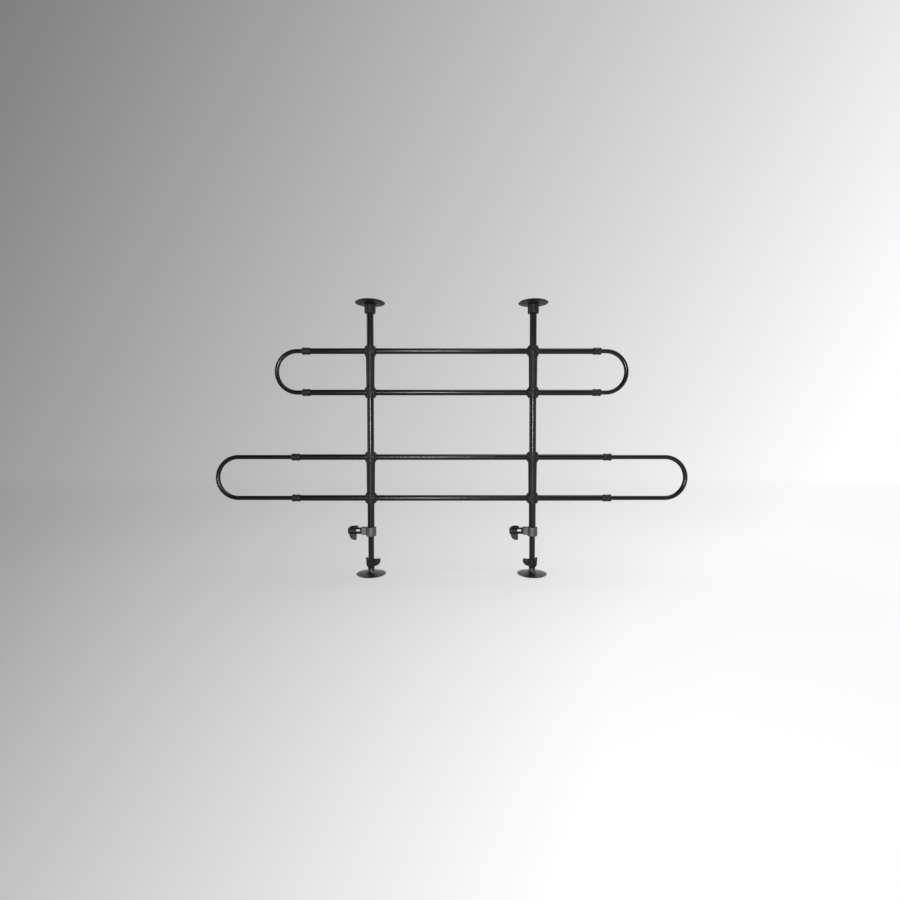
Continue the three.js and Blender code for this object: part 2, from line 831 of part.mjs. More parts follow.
function addClamp(parent, side) {
  add(parent, `${side.name}_clamp_ring`, clampRing(), clampPlastic());
  const screw = new THREE.Group();
  screw.position.z = screwHeight;
  parent.add(screw);
  add(screw, `${side.name}_clamp_insert`, clampInsert(), insertBrass());
  add(screw, `${side.name}_clamp_tip`, pressureTip(), glidePlastic());
  const turning = new THREE.Group();
  turning.rotation.x = KNOB_TILT;
  screw.add(turning);
  add(turning, `${side.name}_clamp_stud`, clampStud(), platedSteel());
  add(turning, `${side.name}_clamp_knob`, clampKnob(), blackPlastic());
}

function addLeg(parent, side) {
  const turn = side.sign > 0 ? Math.PI - NUT_TURN : NUT_TURN;
  add(parent, `${side.name}_lower_tube`, lowerTube(), paintedTube());
  add(parent, `${side.name}_top_glide`, topGlide(), glidePlastic());
  add(parent, `${side.name}_end_plug`, endPlug(), blackPlastic());
  add(parent, `${side.name}_adjusting_nut`, adjustingNut(turn), blackPlastic());
  add(parent, `${side.name}_nut_insert`, nutInsert(), insertBrass());
  add(parent, `${side.name}_foot_stud`, footStud(), platedSteel());
  add(parent, `${side.name}_foot_pad`, footPad(), padRubber());
}

function addPost(parent, side) {
  const post = new THREE.Group();
  post.position.x = side.sign * postX;
  parent.add(post);
  add(post, `${side.name}_post`, postTube(), paintedTube());
  add(post, `${side.name}_roof_collar`, roofCollar(), greyMoulding());
  add(post, `${side.name}_roof_pad`, roofPad(), padRubber());
  addClamp(post, side);
  addLeg(post, side);
}

for (const side of SIDES) {
  addPost(guard, side);
}
for (const pair of PAIRS) {
  addRailPair(guard, pair);
}

export default guard;
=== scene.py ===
"""The looks of a telescopic dog guard for a car boot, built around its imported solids.

Each piece of the guard is modelled at the place of its solid: tubes with rounded ends, moulded
cross brackets with fillets, threaded studs, three-winged knobs and dished pads. Lengths are in
metres, X runs along the rails, and the guard is seen from the front by looking along +Y.
"""

import json
import logging
import math
from dataclasses import dataclass, field
from enum import Enum
from typing import Sequence

import bpy
from mathutils import Euler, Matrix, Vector


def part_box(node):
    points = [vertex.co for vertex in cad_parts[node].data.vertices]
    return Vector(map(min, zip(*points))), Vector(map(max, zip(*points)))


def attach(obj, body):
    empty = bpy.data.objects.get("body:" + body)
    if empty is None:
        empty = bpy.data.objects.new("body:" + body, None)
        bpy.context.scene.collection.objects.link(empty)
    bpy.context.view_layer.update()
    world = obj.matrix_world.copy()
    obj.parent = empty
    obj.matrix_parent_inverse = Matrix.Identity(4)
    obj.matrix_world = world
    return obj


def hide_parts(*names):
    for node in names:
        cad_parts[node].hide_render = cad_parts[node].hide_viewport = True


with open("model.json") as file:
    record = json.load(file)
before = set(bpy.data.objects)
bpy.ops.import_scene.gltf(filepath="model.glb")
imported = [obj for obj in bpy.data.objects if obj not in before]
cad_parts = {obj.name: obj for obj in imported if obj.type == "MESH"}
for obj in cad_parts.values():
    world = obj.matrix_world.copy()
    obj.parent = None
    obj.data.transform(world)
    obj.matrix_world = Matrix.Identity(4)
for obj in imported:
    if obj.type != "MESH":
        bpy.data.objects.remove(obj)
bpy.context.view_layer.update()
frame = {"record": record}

LOG = logging.getLogger("dog_guard")
MM = 0.001
FULL_TURN = 2.0 * math.pi
HALF_TURN = math.pi
QUARTER_TURN = math.pi / 2.0
BODY_OF = {
    node: body
    for body, nodes in frame["record"]["behaviour"]["bodies"].items()
    for node in nodes
}

# Points nearer to each other than this are made one
MERGE_DISTANCE = 0.001 * MM

# The smallest angles between faces, in degrees, that stay a crease in smooth shading
PLAIN_CREASE = 30.0
MOULDED_CREASE = 40.0
PAD_CREASE = 25.0

# The smallest angles between faces, in degrees, that are rounded as an edge
PLAIN_EDGE = 35.0
COLLAR_EDGE = 20.0
PAD_EDGE = 40.0
SQUARE_EDGE = 50.0

# The mix node has several sockets of the same name, so its colours go by number
MIX_FIRST, MIX_SECOND, MIX_RESULT = 6, 7, 2

# How many finer layers the noise of a relief has
RELIEF_DETAIL = 2.0

# How far each point goes towards its neighbours' middle when a moulding is relaxed
RELAX_SHARE = 0.5

# A high weight lets the larger faces set the shading
FACE_WEIGHT = 100

Piece = bpy.types.Object
Material = bpy.types.Material
Socket = bpy.types.NodeSocket
Profile = Sequence[tuple[float, float]]


class Side(Enum):
    """A side of the guard, as the viewer in front of it names it."""

    LEFT = ("left", -1.0)
    RIGHT = ("right", 1.0)

    def __init__(self, word: str, sign: float) -> None:
        """Keeps the word used in names and the sign along X."""
        self.word = word
        self.sign = sign


class Row(Enum):
    """The upper or lower tube of a pair of rails."""

    TOP = "top"
    BOTTOM = "bottom"


class Pair(Enum):
    """One of the guard's two pairs of rails."""

    UPPER = "upper"
    LOWER = "lower"


class Axis(Enum):
    """An axis, by its place in a vector."""

    X = 0
    Y = 1
    Z = 2


# Work at the bench: short wrappers round the operators that every piece needs


def take(*pieces: Piece) -> Piece:
    """Selects only the given pieces.

    Args:
        pieces: The pieces to work on.

    Returns:
        The last of them, which becomes the active one.
    """
    bpy.ops.object.select_all(action="DESELECT")
    for piece in pieces:
        piece.select_set(True)
    bpy.context.view_layer.objects.active = pieces[-1]
    return pieces[-1]


def edit(piece: Piece) -> None:
    """Opens a piece in edit mode with everything selected.

    Args:
        piece: The piece to work on.
    """
    take(piece)
    bpy.ops.object.mode_set(mode="EDIT")
    bpy.ops.mesh.select_mode(type="VERT")
    bpy.ops.mesh.select_all(action="SELECT")


def close_edit() -> None:
    """Merges doubled points, turns the faces outwards and leaves edit mode."""
    bpy.ops.mesh.select_all(action="SELECT")
    bpy.ops.mesh.remove_doubles(threshold=MERGE_DISTANCE)
    bpy.ops.mesh.normals_make_consistent(inside=False)
    bpy.ops.object.mode_set(mode="OBJECT")


def settle(piece: Piece) -> None:
    """Writes a piece's place and turn into its mesh."""
    take(piece)
    bpy.ops.object.transform_apply(location=True, rotation=True, scale=True)


def turn(piece: Piece, axis: Axis, angle: float) -> None:
    """Turns a piece about an axis through the origin."""
    piece.rotation_euler[axis.value] = angle
    settle(piece)


def shift(piece: Piece, place: Vector) -> None:
    """Moves a piece from the origin to its place."""
    piece.location = place
    settle(piece)


def stand(piece: Piece, x: float, z: float) -> None:
    """Moves a piece from the origin to a place in the guard's middle plane."""
    shift(piece, Vector((x, 0.0, z)))


def size_of(node: str) -> Vector:
    """Returns the size of a solid's box."""
    low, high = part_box(node)
    return high - low


def middle_of(node: str) -> Vector:
    """Returns the middle of a solid's box."""
    low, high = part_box(node)
    return (low + high) / 2.0


def axis_x(node: str) -> float:
    """Returns where the axis of an upright solid stands along X."""
    low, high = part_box(node)
    return (low.x + high.x) / 2.0


def copy_of(piece: Piece) -> Piece:
    """Copies a piece.

    Args:
        piece: The piece to copy.

    Returns:
        The copy, with a mesh of its own.
    """
    take(piece)
    bpy.ops.object.duplicate(linked=False)
    return bpy.context.active_object


def discard(piece: Piece) -> None:
    """Removes a piece that was only a master or a tool."""
    take(piece)
    bpy.ops.object.delete()


def new_point(name: str) -> Piece:
    """Starts a mesh as one point at the origin, left open in edit mode.

    Args:
        name: The new object's name.

    Returns:
        The object, whose single point is selected.
    """
    bpy.ops.object.select_all(action="DESELECT")
    bpy.ops.mesh.primitive_plane_add(size=MM)
    piece = bpy.context.active_object
    piece.name = name
    bpy.ops.object.mode_set(mode="EDIT")
    bpy.ops.mesh.select_mode(type="VERT")
    bpy.ops.mesh.select_all(action="SELECT")
    bpy.ops.mesh.merge(type="CENTER")
    return piece


def draw(profile: Profile) -> None:
    """Draws a line of points in the XZ plane from the selected point at the origin.

    Args:
        profile: Pairs of radius and height, in order.
    """
    radius, height = profile[0]
    bpy.ops.transform.translate(value=(radius, 0.0, height))
    for new_radius, new_height in profile[1:]:
        step = (new_radius - radius, 0.0, new_height - height)
        bpy.ops.mesh.extrude_vertices_move(TRANSFORM_OT_translate={"value": step})
        radius, height = new_radius, new_height


def turned(name: str, profile: Profile, sides: int) -> Piece:
    """Turns a profile about the Z axis as on a lathe.

    Args:
        name: The new object's name.
        profile: Pairs of radius and height that close on themselves or end on the axis.
        sides: The number of steps round the axis.

    Returns:
        The closed piece.
    """
    piece = new_point(name)
    draw(profile)
    bpy.ops.mesh.select_all(action="SELECT")
    bpy.ops.mesh.spin(
        steps=sides, angle=FULL_TURN, center=(0.0, 0.0, 0.0), axis=(0.0, 0.0, 1.0))
    close_edit()
    return piece


def plate(name: str, outline: Profile, thickness: float) -> Piece:
    """Cuts a flat plate in the XZ plane, centred on it.

    Args:
        name: The new object's name.
        outline: The plate's corners as X and Z, in order, not closed.
        thickness: The plate's thickness along Y.

    Returns:
        The closed plate.
    """
    piece = new_point(name)
    draw([*outline, outline[0]])
    bpy.ops.mesh.select_all(action="SELECT")
    bpy.ops.mesh.remove_doubles(threshold=MERGE_DISTANCE)
    bpy.ops.mesh.edge_face_add()
    bpy.ops.transform.translate(value=(0.0, -thickness / 2.0, 0.0))
    bpy.ops.mesh.extrude_region_move(TRANSFORM_OT_translate={"value": (0.0, thickness, 0.0)})
    close_edit()
    return piece


def block(name: str, size: Sequence[float], place: Sequence[float]) -> Piece:
    """Makes a plain box.

    Args:
        name: The new object's name.
        size: Its size along X, Y and Z.
        place: The place of its middle.

    Returns:
        The box.
    """
    bpy.ops.object.select_all(action="DESELECT")
    bpy.ops.mesh.primitive_cube_add(size=1.0)
    piece = bpy.context.active_object
    piece.name = name
    piece.scale = size
    piece.location = place
    settle(piece)
    return piece


def disc(radius: float, low: float, high: float) -> Profile:
    """Returns the profile of a solid round bar."""
    return [(0.0, low), (radius, low), (radius, high), (0.0, high)]


def ring(inner: float, outer: float, low: float, high: float) -> Profile:
    """Returns the closed profile of a plain bush."""
    return [(inner, low), (outer, low), (outer, high), (inner, high), (inner, low)]


def round_corner(centre: tuple[float, float], size: tuple[float, float], start: float,
                 end: float, steps: int) -> Profile:
    """Lays points on an elliptical arc.

    Args:
        centre: The arc's centre as radius and height.
        size: The arc's reach along the radius and along the height.
        start: The first angle, in degrees from the radius axis.
        end: The last angle, in degrees.
        steps: The number of steps between them.

    Returns:
        The points from start to end.
    """
    points = []
    for step in range(steps + 1):
        angle = math.radians(start + (end - start) * step / steps)
        across = centre[0] + size[0] * math.cos(angle)
        points.append((across, centre[1] + size[1] * math.sin(angle)))
    return points


def apply_modifier(piece: Piece, kind: str, **settings: object) -> None:
    """Adds a modifier to a piece, sets it and applies it.

    Args:
        piece: The piece to work on.
        kind: The modifier's type.
        settings: Its settings by name.
    """
    take(piece)
    modifier = piece.modifiers.new(kind.title(), kind)
    for name, value in settings.items():
        setattr(modifier, name, value)
    bpy.ops.object.modifier_apply(modifier=modifier.name)


def soften(piece: Piece, width: float, segments: int = 3, angle: float = PLAIN_EDGE) -> None:
    """Rounds the piece's sharp edges.

    Args:
        piece: The piece to work on.
        width: How far each rounding reaches from its edge.
        segments: The number of faces across a rounding.
        angle: The smallest angle between faces that counts as an edge, in degrees.
    """
    apply_modifier(
        piece, "BEVEL", width=width, segments=segments, limit_method="ANGLE",
        angle_limit=math.radians(angle), use_clamp_overlap=True,
    )


def smooth(piece: Piece, angle: float = PLAIN_CREASE) -> None:
    """Shades a piece smooth, with creases only where faces meet at more than an angle.

    Args:
        piece: The piece to shade.
        angle: The smallest angle between faces that stays a crease, in degrees.
    """
    take(piece)
    bpy.ops.object.shade_smooth_by_angle(angle=math.radians(angle))
    apply_modifier(piece, "WEIGHTED_NORMAL", keep_sharp=True, weight=FACE_WEIGHT)


def cast(name: str, parts: Sequence[Piece], grain: float, rounds: int) -> Piece:
    """Melts overlapping parts into one moulding with small fillets.

    Args:
        name: The moulding's name.
        parts: The closed parts, which are used up.
        grain: The size of the mesh's faces.
        rounds: How often the surface is relaxed, which sets the size of the fillets.

    Returns:
        The moulding.
    """
    piece = take(*parts)
    bpy.ops.object.join()
    piece.name = name
    apply_modifier(piece, "REMESH", mode="VOXEL", voxel_size=grain, adaptivity=0.0)
    apply_modifier(piece, "SMOOTH", factor=RELAX_SHARE, iterations=rounds)
    return piece


def cut(piece: Piece, tools: Sequence[Piece]) -> None:
    """Cuts closed tools out of a piece.

    Args:
        piece: The piece to cut.
        tools: The cutters, which are used up.
    """
    for tool in tools:
        apply_modifier(piece, "BOOLEAN", operation="DIFFERENCE", solver="EXACT", object=tool)
        discard(tool)


def weld(piece: Piece, additions: Sequence[Piece]) -> None:
    """Adds closed parts to a piece as one body.

    Args:
        piece: The piece to add to.
        additions: The parts to add, which are used up.
    """
    for addition in additions:
        apply_modifier(piece, "BOOLEAN", operation="UNION", solver="EXACT", object=addition)
        discard(addition)


def hand_over(piece: Piece, node: str, material: Material) -> None:
    """Puts a finished piece in the place of its solid and on the solid's body.

    Args:
        piece: The finished piece, in place.
        node: The solid that it stands for.
        material: Its finish.
    """
    piece.name = f"{node}_finished"
    piece.data.name = piece.name
    piece.data.materials.clear()
    piece.data.materials.append(material)
    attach(piece, BODY_OF[node])
    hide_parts(node)
    LOG.info("%s: %d faces", piece.name, len(piece.data.polygons))


# Finishes


@dataclass(frozen=True)
class Colour:
    """A colour as it looks on a screen, with each part from 0 to 255."""

    red: float
    green: float
    blue: float

    @property
    def rgba(self) -> tuple[float, float, float, float]:
        """The colour in the renderer's linear values."""
        return (*(self.linear(part / 255.0) for part in (self.red, self.green, self.blue)), 1.0)

    @staticmethod
    def linear(part: float) -> float:
        """Returns the linear value of one screen part from 0 to 1."""
        return part / 12.92 if part <= 0.04045 else ((part + 0.055) / 1.055) ** 2.4


@dataclass(frozen=True)
class Pattern:
    """A noise pattern and the stretch of its values that counts.

    The scale is its number of features in a metre, and the detail how many finer layers it has.
    """

    scale: float
    detail: float
    low: float
    high: float


class NodeSheet:
    """The node tree of one material, written node by node."""

    def __init__(self, name: str) -> None:
        """Starts a material with a surface shader wired to its output.

        Args:
            name: The material's name.
        """
        self.material = bpy.data.materials.new(name)
        self.material.use_nodes = True
        self.tree = self.material.node_tree
        self.tree.nodes.clear()
        self.shader = self.tree.nodes.new("ShaderNodeBsdfPrincipled")
        output = self.tree.nodes.new("ShaderNodeOutputMaterial")
        self.join(self.shader.outputs["BSDF"], output.inputs["Surface"])
        self.place = self.tree.nodes.new("ShaderNodeTexCoord").outputs["Object"]

    def join(self, source: Socket, target: Socket) -> None:
        """Wires one socket to another."""
        self.tree.links.new(source, target)

    def wire(self, colour: Socket, roughness: Socket, normal: Socket) -> None:
        """Wires the surface's colour, roughness and normal.

        Args:
            colour: The colour's socket.
            roughness: The roughness's socket.
            normal: The normal's socket.
        """
        self.join(colour, self.shader.inputs["Base Color"])
        self.join(roughness, self.shader.inputs["Roughness"])
        self.join(normal, self.shader.inputs["Normal"])

    def fix(self, name: str, value: float) -> None:
        """Sets one of the surface's values."""
        self.shader.inputs[name].default_value = value

    def stretched(self, scale: Sequence[float]) -> Socket:
        """Scales the piece's coordinates.

        Args:
            scale: The factor along each axis.

        Returns:
            The scaled coordinates.
        """
        mapping = self.tree.nodes.new("ShaderNodeMapping")
        mapping.inputs["Scale"].default_value = scale
        self.join(self.place, mapping.inputs["Vector"])
        return mapping.outputs["Vector"]

    def noise(self, scale: float, detail: float, vector: Socket | None = None) -> Socket:
        """Adds a noise pattern.

        Args:
            scale: Its number of features in a metre.
            detail: How many finer layers it has.
            vector: The coordinates to read, or None for the piece's own.

        Returns:
            The pattern's value, about 0.5 on average.
        """
        node = self.tree.nodes.new("ShaderNodeTexNoise")
        node.inputs["Scale"].default_value = scale
        node.inputs["Detail"].default_value = detail
        self.join(vector or self.place, node.inputs["Vector"])
        return node.outputs["Fac"]

    def spread(self, pattern: Pattern, start: float = 0.0, end: float = 1.0,
               vector: Socket | None = None) -> Socket:
        """Spreads a pattern's stretch of values from start to end.

        Args:
            pattern: The pattern.
            start: The result at the stretch's lower end and below.
            end: The result at its upper end and above.
            vector: The coordinates to read, or None for the piece's own.

        Returns:
            The spread value.
        """
        value = self.noise(pattern.scale, pattern.detail, vector)
        return self.fade(value, pattern.low, pattern.high, start, end)

    def fade(self, value: Socket, low: float, high: float, start: float = 0.0,
             end: float = 1.0) -> Socket:
        """Maps a value's stretch between low and high to start and end, clamped.

        Args:
            value: The value to map.
            low: The value that gives start.
            high: The value that gives end.
            start: The first result.
            end: The last result.

        Returns:
            The mapped value.
        """
        node = self.tree.nodes.new("ShaderNodeMapRange")
        node.inputs["From Min"].default_value = low
        node.inputs["From Max"].default_value = high
        node.inputs["To Min"].default_value = start
        node.inputs["To Max"].default_value = end
        self.join(value, node.inputs["Value"])
        return node.outputs["Result"]

    def blend(self, amount: Socket, first: Colour | Socket, second: Colour) -> Socket:
        """Mixes two colours.

        Args:
            amount: How much of the second shows.
            first: The colour where the amount is 0, or its socket.
            second: The colour where the amount is 1.

        Returns:
            The mixed colour.
        """
        node = self.tree.nodes.new("ShaderNodeMix")
        node.data_type = "RGBA"
        self.join(amount, node.inputs["Factor"])
        node.inputs[MIX_SECOND].default_value = second.rgba
        if isinstance(first, Colour):
            node.inputs[MIX_FIRST].default_value = first.rgba
        else:
            self.join(first, node.inputs[MIX_FIRST])
        return node.outputs[MIX_RESULT]

    def maths(self, operation: str, first: Socket | float, second: Socket | float) -> Socket:
        """Adds one step of arithmetic.

        Args:
            operation: The step's name in Blender.
            first: Its first value.
            second: Its second value.

        Returns:
            The result.
        """
        node = self.tree.nodes.new("ShaderNodeMath")
        node.operation = operation
        for source, socket in zip((first, second), node.inputs):
            if isinstance(source, float):
                socket.default_value = source
            else:
                self.join(source, socket)
        return node.outputs["Value"]

    def distance(self) -> Socket:
        """Measures how far a point is from the origin.

        Returns:
            The distance.
        """
        node = self.tree.nodes.new("ShaderNodeVectorMath")
        node.operation = "LENGTH"
        self.join(self.place, node.inputs[0])
        return node.outputs["Value"]

    def relief(self, scale: float, depth: float, vector: Socket | None = None) -> Socket:
        """Makes a fine relief from a noise pattern.

        Args:
            scale: The pattern's number of features in a metre.
            depth: The relief's depth.
            vector: The coordinates to read, or None for the piece's own.

        Returns:
            The normal of the surface with that relief.
        """
        node = self.tree.nodes.new("ShaderNodeBump")
        node.inputs["Distance"].default_value = depth
        self.join(self.noise(scale, RELIEF_DETAIL, vector), node.inputs["Height"])
        return node.outputs["Normal"]


class Run(Enum):
    """Which way the drawing marks and scuffs of a tube run, as pattern scales along X, Y and Z."""

    ALONG_X = (14.0, 900.0, 900.0)
    ALONG_Z = (900.0, 900.0, 14.0)
    BENT = (40.0, 300.0, 40.0)


@dataclass(frozen=True)
class TubePaint:
    """Gloss black stove paint on drawn steel tube."""

    name: str
    run: Run
    paint: Colour = Colour(6, 8, 7)
    faded: Colour = Colour(12, 15, 13)
    scuffed: Colour = Colour(54, 58, 54)
    drift: Pattern = Pattern(11.0, 2.0, 0.36, 0.66)
    patches: Pattern = Pattern(17.0, 3.0, 0.5, 0.72)
    scuffs: Pattern = Pattern(1.0, 5.0, 0.6, 0.78)
    sheen: Pattern = Pattern(12.0, 1.0, 0.3, 0.7)
    gloss: float = 0.23
    dull: float = 0.26
    specular: float = 0.3
    mark_scale: float = 6.0
    mark_depth: float = 0.004 * MM
    scuff_share: float = 0.3

    def material(self) -> Material:
        """Mixes the paint.

        Returns:
            Its material.
        """
        sheet = NodeSheet(self.name)
        drawn = sheet.stretched(self.run.value)
        body = sheet.blend(sheet.spread(self.drift), self.paint, self.faded)
        scuffs = sheet.spread(self.scuffs, 0.0, self.scuff_share, drawn)
        worn = sheet.maths("MULTIPLY", scuffs, sheet.spread(self.patches))
        sheet.wire(
            colour=sheet.blend(worn, body, self.scuffed),
            roughness=sheet.spread(self.sheen, self.gloss, self.dull),
            normal=sheet.relief(self.mark_scale, self.mark_depth, drawn),
        )
        sheet.fix("Specular IOR Level", self.specular)
        return sheet.material


@dataclass(frozen=True)
class Moulding:
    """A moulded plastic or rubber with a fine spark-eroded grain."""

    name: str
    base: Colour
    pale: Colour
    dusty: Colour
    flow: Pattern = Pattern(1.0 / (45.0 * MM), 2.0, 0.35, 0.65)
    dust: Pattern = Pattern(260.0, 6.0, 0.56, 0.74)
    sheen: Pattern = Pattern(120.0, 4.0, 0.3, 0.7)
    smooth: float = 0.5
    rough: float = 0.68
    grain_size: float = 0.7 * MM
    grain_depth: float = 0.035 * MM
    dust_share: float = 0.3
    specular: float = 0.25

    def material(self) -> Material:
        """Mixes the moulding's material.

        Returns:
            The material.
        """
        sheet = NodeSheet(self.name)
        body = sheet.blend(sheet.spread(self.flow), self.base, self.pale)
        dust = sheet.spread(self.dust, 0.0, self.dust_share)
        sheet.wire(
            colour=sheet.blend(dust, body, self.dusty),
            roughness=sheet.spread(self.sheen, self.smooth, self.rough),
            normal=sheet.relief(1.0 / self.grain_size, self.grain_depth),
        )
        sheet.fix("Specular IOR Level", self.specular)
        return sheet.material


@dataclass(frozen=True)
class BareMetal:
    """A plated or turned metal with fine tool marks."""

    name: str
    base: Colour
    stained: Colour
    stain: Pattern = Pattern(140.0, 5.0, 0.4, 0.7)
    sheen: Pattern = Pattern(320.0, 3.0, 0.3, 0.7)
    smooth: float = 0.26
    rough: float = 0.45
    mark_scale: float = 2600.0
    mark_depth: float = 0.01 * MM

    def material(self) -> Material:
        """Mixes the metal's material.

        Returns:
            The material.
        """
        sheet = NodeSheet(self.name)
        sheet.wire(
            colour=sheet.blend(sheet.spread(self.stain), self.base, self.stained),
            roughness=sheet.spread(self.sheen, self.smooth, self.rough),
            normal=sheet.relief(self.mark_scale, self.mark_depth),
        )
        sheet.fix("Metallic", 1.0)
        return sheet.material


@dataclass
class Finishes:
    """Every finish on the guard, made once."""

    across: Material = field(
        default_factory=lambda: TubePaint("gloss_black_paint_rails", Run.ALONG_X).material())
    upright: Material = field(
        default_factory=lambda: TubePaint("gloss_black_paint_posts", Run.ALONG_Z).material())
    bent: Material = field(default_factory=lambda: TubePaint(
        "gloss_black_paint_loops", Run.BENT, mark_depth=0.001 * MM).material())
    bracket: Material = field(default_factory=lambda: Moulding(
        "dark_grey_moulding", Colour(18, 21, 19), Colour(26, 30, 27), Colour(52, 55, 50),
        smooth=0.42, rough=0.54, specular=0.24, dust_share=0.18).material())
    clamp: Material = field(default_factory=lambda: Moulding(
        "mid_grey_moulding", Colour(37, 40, 37), Colour(49, 52, 49), Colour(98, 100, 94),
        smooth=0.42, rough=0.52, specular=1.0, dust_share=0.22).material())
    knob: Material = field(default_factory=lambda: Moulding(
        "satin_black_moulding", Colour(9, 11, 10), Colour(15, 18, 16), Colour(52, 55, 52),
        smooth=0.34, rough=0.5, specular=0.25, grain_depth=0.02 * MM).material())
    pad: Material = field(default_factory=lambda: Moulding(
        "black_rubber", Colour(11, 11, 8), Colour(22, 22, 17), Colour(84, 80, 66),
        smooth=0.42, rough=0.6, specular=0.25, dust_share=0.4, grain_depth=0.03 * MM).material())
    foot: Material = field(default_factory=lambda: Moulding(
        "polished_black_rubber", Colour(11, 11, 8), Colour(22, 22, 17), Colour(96, 92, 76),
        smooth=0.26, rough=0.33, specular=0.7, dust_share=0.5, grain_depth=0.02 * MM).material())
    steel: Material = field(default_factory=lambda: BareMetal(
        "zinc_plated_steel", Colour(196, 199, 201), Colour(158, 160, 158)).material())
    brass: Material = field(default_factory=lambda: BareMetal(
        "turned_brass", Colour(206, 178, 112), Colour(160, 130, 74)).material())
    nylon: Material = field(default_factory=lambda: Moulding(
        "natural_nylon", Colour(206, 204, 194), Colour(222, 220, 210), Colour(170, 166, 152),
        smooth=0.45, rough=0.6).material())


# Tubes


@dataclass
class Tubework:
    """The straight tubes: two posts, four centre rails, eight side tubes and two lower tubes."""

    finishes: Finishes
    wall: float = 1.0 * MM
    end_round: float = 0.22 * MM
    sides: int = 64
    screw_hole_radius: float = 3.45 * MM

    def tube(self, node: str, axis: Axis, material: Material) -> None:
        """Makes one tube where its solid is.

        Args:
            node: The solid's name.
            axis: The axis that the tube runs along.
            material: Its finish.
        """
        size = size_of(node)
        half = size[axis.value] / 2.0
        outer = size[(axis.value + 1) % len(Axis)] / 2.0
        piece = turned(node, ring(outer - self.wall, outer, -half, half), self.sides)
        soften(piece, self.end_round)
        if axis is Axis.X:
            turn(piece, Axis.Y, QUARTER_TURN)
        shift(piece, middle_of(node))
        if node.endswith("_post"):
            self.drill(piece, node)
        smooth(piece)
        hand_over(piece, node, material)

    def drill(self, post: Piece, node: str) -> None:
        """Drills the hole in a post's wall that the clamp's pressure tip passes through.

        Args:
            post: The post's tube, in place.
            node: The post's solid.
        """
        tip = node.replace("_post", "_clamp_tip")
        reach = size_of(tip).x
        tool = turned("drill", disc(self.screw_hole_radius, -reach, reach), self.sides // 2)
        turn(tool, Axis.Y, QUARTER_TURN)
        shift(tool, middle_of(tip))
        cut(post, [tool])

    def build(self) -> None:
        """Makes every straight tube."""
        for side in Side:
            self.tube(f"{side.word}_post", Axis.Z, self.finishes.upright)
            self.tube(f"{side.word}_lower_tube", Axis.Z, self.finishes.upright)
        for pair in Pair:
            for row in Row:
                self.tube(f"{pair.value}_centre_rail_{row.value}", Axis.X, self.finishes.across)
                for side in Side:
                    node = f"{pair.value}_{side.word}_side_tube_{row.value}"
                    self.tube(node, Axis.X, self.finishes.across)


@dataclass
class SlidingLoops:
    """The four U-shaped tubes that draw out of the side tubes."""

    finishes: Finishes
    tube_radius: float = 6.0 * MM
    swage_radius: float = 6.7 * MM
    swage_length: float = 10.0 * MM
    swage_taper: float = 3.0 * MM
    wall: float = 1.0 * MM
    sides: int = 40
    bend_steps: int = 56

    def stretch(self, distance: float, flare: float = 1.0, about: Vector | None = None) -> None:
        """Draws the selected ring along X, and swells or shrinks it.

        Args:
            distance: How far to draw it.
            flare: The factor on its size.
            about: The centre of the ring after the move, where its size changes.
        """
        bpy.ops.mesh.extrude_region_move(TRANSFORM_OT_translate={"value": (distance, 0.0, 0.0)})
        if about is not None:
            bpy.ops.transform.resize(value=(1.0, flare, flare), center_override=about)

    def loop(self, node: str, side: Side) -> None:
        """Bends one loop in the place of its solid.

        Args:
            node: The solid's name.
            side: The side of the guard that it draws out of.
        """
        size = size_of(node)
        bend_radius = size.z / 2.0 - self.swage_radius
        leg_start = -size.x / 2.0
        bend_start = -leg_start - self.tube_radius - bend_radius
        plain = self.swage_length
        taper_start = self.swage_length - self.swage_taper
        bpy.ops.object.select_all(action="DESELECT")
        bpy.ops.mesh.primitive_circle_add(
            vertices=self.sides, radius=self.swage_radius, fill_type="NOTHING",
            location=(leg_start, 0.0, -bend_radius), rotation=(0.0, QUARTER_TURN, 0.0))
        piece = bpy.context.active_object
        settle(piece)
        edit(piece)
        shrink = self.tube_radius / self.swage_radius
        self.stretch(taper_start)
        self.stretch(self.swage_taper, shrink, Vector((leg_start + plain, 0.0, -bend_radius)))
        self.stretch(bend_start - leg_start - plain)
        bpy.ops.mesh.spin(steps=self.bend_steps, angle=HALF_TURN,
                          center=(bend_start, 0.0, 0.0), axis=(0.0, 1.0, 0.0))
        self.stretch(leg_start + plain - bend_start)
        self.stretch(-self.swage_taper, 1.0 / shrink,
                     Vector((leg_start + taper_start, 0.0, bend_radius)))
        self.stretch(-taper_start)
        close_edit()
        apply_modifier(piece, "SOLIDIFY", thickness=self.wall, offset=-1.0, use_even_offset=True)
        if side is Side.LEFT:
            turn(piece, Axis.Z, HALF_TURN)
        shift(piece, middle_of(node))
        smooth(piece)
        hand_over(piece, node, self.finishes.bent)

    def build(self) -> None:
        """Bends all four loops."""
        for pair in Pair:
            for side in Side:
                self.loop(f"{pair.value}_{side.word}_loop", side)


